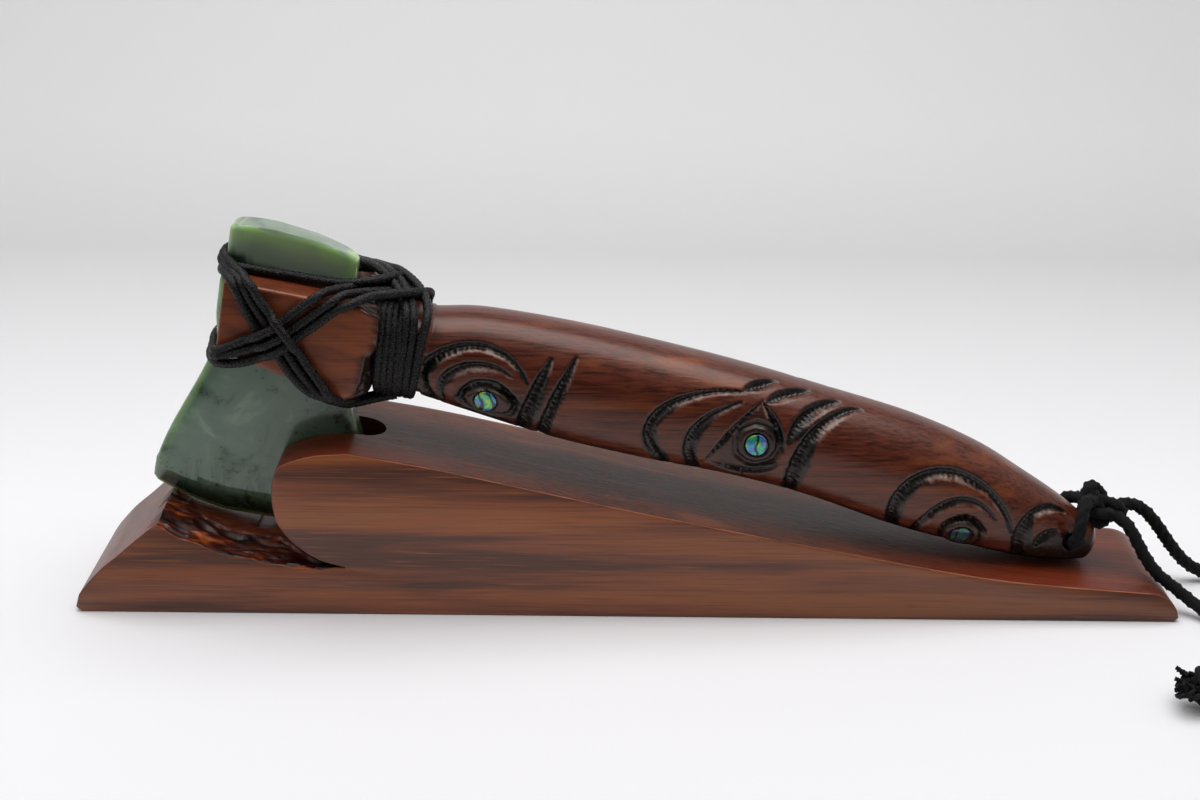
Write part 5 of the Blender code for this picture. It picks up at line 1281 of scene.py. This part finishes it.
def build_wrist_cord(cord):
    """Both halves of the wrist cord, its two knots and the frayed ends."""
    cotton = cord_material("Twisted cotton cord", cord.cotton, 0.85, rgb("#1d1c1e"), 0.0006, 0.7)
    d = cord.wrist
    along, up = cord_hole()
    hole = AXE @ Vector((along, 0, up))
    lean = Matrix.Rotation(KNOT_LEAN, 4, "Y")
    knots = []
    for name, node, place, parts in (
            ("knot_at_butt", "wrist_knot", KNOT_PLACE,
             (((0.0030, 0.0019, 0.0017), 1.4), ((0.0023, 0.0015, 0.0016), 0.2))),
            ("knot_at_ends", "end_knot", END_KNOT_PLACE,
             (((0.0021, 0.0014, 0.0017), 1.0), ((0.0014, 0.0016, 0.0012), -0.5)))):
        paths = [knot_path(place, size, lean @ Matrix.Rotation(angle, 4, "X")) for size, angle in parts]
        knot = swept(name, paths, cotton, 0.98 * d, closed=range(len(paths)), sides=24, plies=3, lobe=0.12,
                     lay=cord.lay)
        belongs(knot, node)
        knots.append(knot)
    threads = frayed((END_KNOT_PLACE[0] - 0.0035, *END_KNOT_PLACE[1:]), FRAY_THREADS, FRAY_REACH)
    tuft = swept("frayed_ends", threads, cotton, 0.40 * d, closed=(), sides=8, plies=3, lobe=0.2, lay=0.2 * cord.lay)
    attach(tuft, "root")
    knots.append(tuft)
    for name, side, leg, tail, nodes, pieces in (
            ("wrist_cord_front", -1.0, FRONT_LEG, LOWER_TAIL, ("wrist_cord_lower_tail", "wrist_cord_loop"), knots),
            ("wrist_cord_back", 1.0, BACK_LEG, UPPER_TAIL, ("wrist_cord_upper_tail",), [])):
        route = [(hole.x, 0.0, hole.z), (hole.x, side * HOLE_REACH, hole.z), *leg[::-1], KNOT_PLACE, *tail,
                 END_KNOT_PLACE]
        line = spaced(smooth_curve(route, 10), 0.0012)
        item = swept(name, [line], cotton, 1.08 * d, closed=(), sides=30, plies=3, lobe=0.13, lay=cord.lay)
        belongs(item, *nodes)


# Stage, light and camera


def paper_material(stage):
    """Seamless paper: matt and even in finish, with painted shade in front and in its bend, so the eye gets nothing
    but soft shade.
    """
    material, tree, shader = new_material("Seamless paper")
    place = add_node(tree, "ShaderNodeTexCoord").outputs["Object"]
    far = add_node(tree, "ShaderNodeSeparateXYZ", {0: place}).outputs[1]
    # Light falls only round the piece, so the paper is painted dark a little way in front of it as shade, and greyer
    # where it bends up.
    share = add_node(tree, "ShaderNodeMapRange", {0: far, 1: -0.35, 2: 0.95}).outputs[0]
    tone = add_node(tree, "ShaderNodeValToRGB", {0: share}, stops=(
        (0.04, rgb("#2c2c2e")), (0.155, stage.floor), (0.31, stage.floor), (0.56, rgb("#d7d7d8")),
        (0.76, rgb("#f2f2f2")), (0.93, rgb("#ffffff")))).outputs[0]
    fill_shader(tree, shader, tone, {"Roughness": 0.7, "Specular IOR Level": 0.2})
    return material


def build_paper(stage):
    """Paper that runs level under the piece and bends up behind it."""
    half_width, front, level, bend, top = 1.8, -1.2, 0.55, 0.35, 1.4
    profile = [(front, 0.0), (0.0, 0.0), (level, 0.0)]
    profile += [(level + bend * math.sin(a), bend - bend * math.cos(a)) for a in np.linspace(0.1, math.pi / 2, 16)]
    profile += [(level + bend, top)]
    mesh = bpy.data.meshes.new("floor_sweep")
    mesh.from_pydata([(x, y, z) for y, z in profile for x in (-half_width, half_width)], [],
                     [(2 * k, 2 * k + 1, 2 * k + 3, 2 * k + 2) for k in range(len(profile) - 1)])
    mesh.shade_smooth()
    mesh.materials.append(paper_material(stage))
    add_object("floor_sweep", mesh)


def build_light(stage):
    """Soft light from above and behind, with one softbox overhead and a weak one on the left."""
    world = bpy.data.worlds.new("Soft surround")
    world.use_nodes = True
    tree = world.node_tree
    heading = add_node(tree, "ShaderNodeSeparateXYZ", {0: add_node(tree, "ShaderNodeTexCoord").outputs["Generated"]})
    roof = add_node(tree, "ShaderNodeMapRange", {0: heading.outputs[2], 1: 0.0, 2: 0.8, 3: 0.25, 4: 0.72}).outputs[0]
    back = add_node(tree, "ShaderNodeMapRange", {0: heading.outputs[1], 1: -0.9, 2: 0.3, 3: 0.20, 4: 1.0}).outputs[0]
    glow = add_node(tree, "ShaderNodeMath", {0: roof, 1: back}, operation="MULTIPLY").outputs[0]
    background = tree.nodes["Background"]
    tree.links.new(glow, background.inputs["Strength"])
    background.inputs["Color"].default_value = (1.0, 1.0, 1.0, 1.0)
    bpy.context.scene.world = world
    bpy.context.scene.view_settings.view_transform = "Standard"
    for name, place, aim, size, power in (
            ("softbox_above", (0.0, 0.05, 0.95), (0.0, 0.0, 0.0), (1.2, 0.7), stage.key),
            ("softbox_left", (-0.95, -0.25, 0.60), (0.0, 0.0, 0.05), (0.6, 0.6), 0.12 * stage.key)):
        data = bpy.data.lights.new(name, "AREA")
        data.shape = "RECTANGLE"
        data.size, data.size_y = size
        data.energy = power
        lamp = add_object(name, data)
        lamp.location = place
        lamp.rotation_euler = (Vector(aim) - Vector(place)).to_track_quat("-Z", "Y").to_euler()


def aim_camera(stage):
    """The camera: looking down, a little to the right, and a little rolled."""
    pitch, yaw, roll = math.radians(22.251), math.radians(0.99), math.radians(1.052)
    ahead = Vector((math.sin(yaw) * math.cos(pitch), math.cos(yaw) * math.cos(pitch), -math.sin(pitch)))
    level = Vector((math.cos(yaw), -math.sin(yaw), 0.0))
    rise = level.cross(ahead)
    right = level * math.cos(roll) + rise * math.sin(roll)
    up = rise * math.cos(roll) - level * math.sin(roll)
    data = bpy.data.cameras.new("camera")
    data.lens = stage.lens
    data.sensor_width = 36.0
    data.clip_start = 0.01
    camera = add_object("camera", data)
    turn = Matrix((right, up, -ahead)).transposed().to_4x4()
    camera.matrix_world = Matrix.Translation(stage.place) @ turn
    bpy.context.scene.camera = camera


class AXE_OT_stage(bpy.types.Operator):
    """Sets the camera, the softboxes and the pale floor"""
    bl_idname = "axe.stage"
    bl_label = "Stage"

    def execute(self, context):
        for step in (build_paper, build_light, aim_camera):
            step(context.scene.axe_stage)
        return {"FINISHED"}


class AXE_OT_wrist_cord(bpy.types.Operator):
    """Lays the doubled wrist cord and ties its two knots"""
    bl_idname = "axe.wrist_cord"
    bl_label = "Wrist cord"

    def execute(self, context):
        build_wrist_cord(context.scene.axe_cord)
        return {"FINISHED"}


class AXE_OT_stand(bpy.types.Operator):
    """Makes the sawn stand with its gouged notch and slot"""
    bl_idname = "axe.stand"
    bl_label = "Stand"

    def execute(self, context):
        build_stand(context.scene.axe_wood)
        return {"FINISHED"}


class AXE_OT_blade(bpy.types.Operator):
    """Makes the polished greenstone blade"""
    bl_idname = "axe.blade"
    bl_label = "Blade"

    def execute(self, context):
        build_blade(context.scene.axe_stone)
        return {"FINISHED"}


class AXE_OT_handle(bpy.types.Operator):
    """Makes the carved handle"""
    bl_idname = "axe.handle"
    bl_label = "Handle"

    def execute(self, context):
        build_handle(context.scene.axe_wood, context.scene.axe_carving)
        return {"FINISHED"}


class AXE_OT_eyes(bpy.types.Operator):
    """Sets the shell discs in their sockets"""
    bl_idname = "axe.eyes"
    bl_label = "Shell eyes"

    def execute(self, context):
        build_eyes()
        return {"FINISHED"}


class AXE_OT_lashing(bpy.types.Operator):
    """Winds the lashing round neck, head and blade"""
    bl_idname = "axe.lashing"
    bl_label = "Lashing"

    def execute(self, context):
        build_lashing(context.scene.axe_cord)
        return {"FINISHED"}


class AXE_PT_panel(bpy.types.Panel):
    """Sizes, colours and steps of the dressed axe"""
    bl_label = "Hafted axe"
    bl_idname = "AXE_PT_panel"
    bl_space_type = "VIEW_3D"
    bl_region_type = "UI"
    bl_category = "Axe"

    def draw(self, context):
        for group in SETTINGS:
            box = self.layout.box()
            settings = getattr(context.scene, group)
            for label in settings.__annotations__:
                box.prop(settings, label)
        for step in STEPS:
            self.layout.operator(step.bl_idname)


SETTINGS = {"axe_wood": AXE_PG_wood, "axe_carving": AXE_PG_carving, "axe_stone": AXE_PG_stone,
            "axe_cord": AXE_PG_cord, "axe_stage": AXE_PG_stage}
STEPS = (AXE_OT_stage, AXE_OT_wrist_cord, AXE_OT_stand, AXE_OT_blade, AXE_OT_handle, AXE_OT_eyes, AXE_OT_lashing)


def register():
    for group in SETTINGS.values():
        bpy.utils.register_class(group)
    for label, group in SETTINGS.items():
        setattr(bpy.types.Scene, label, PointerProperty(type=group))
    for step in STEPS:
        bpy.utils.register_class(step)
    bpy.utils.register_class(AXE_PT_panel)


def unregister():
    bpy.utils.unregister_class(AXE_PT_panel)
    for step in reversed(STEPS):
        bpy.utils.unregister_class(step)
    for label, group in SETTINGS.items():
        delattr(bpy.types.Scene, label)
        bpy.utils.unregister_class(group)


def main():
    """Builds every piece in turn."""
    register()
    bpy.ops.axe.stage()
    bpy.ops.axe.wrist_cord()
    bpy.ops.axe.stand()
    bpy.ops.axe.blade()
    bpy.ops.axe.handle()
    bpy.ops.axe.eyes()
    bpy.ops.axe.lashing()


if __name__ == "__main__":
    main()
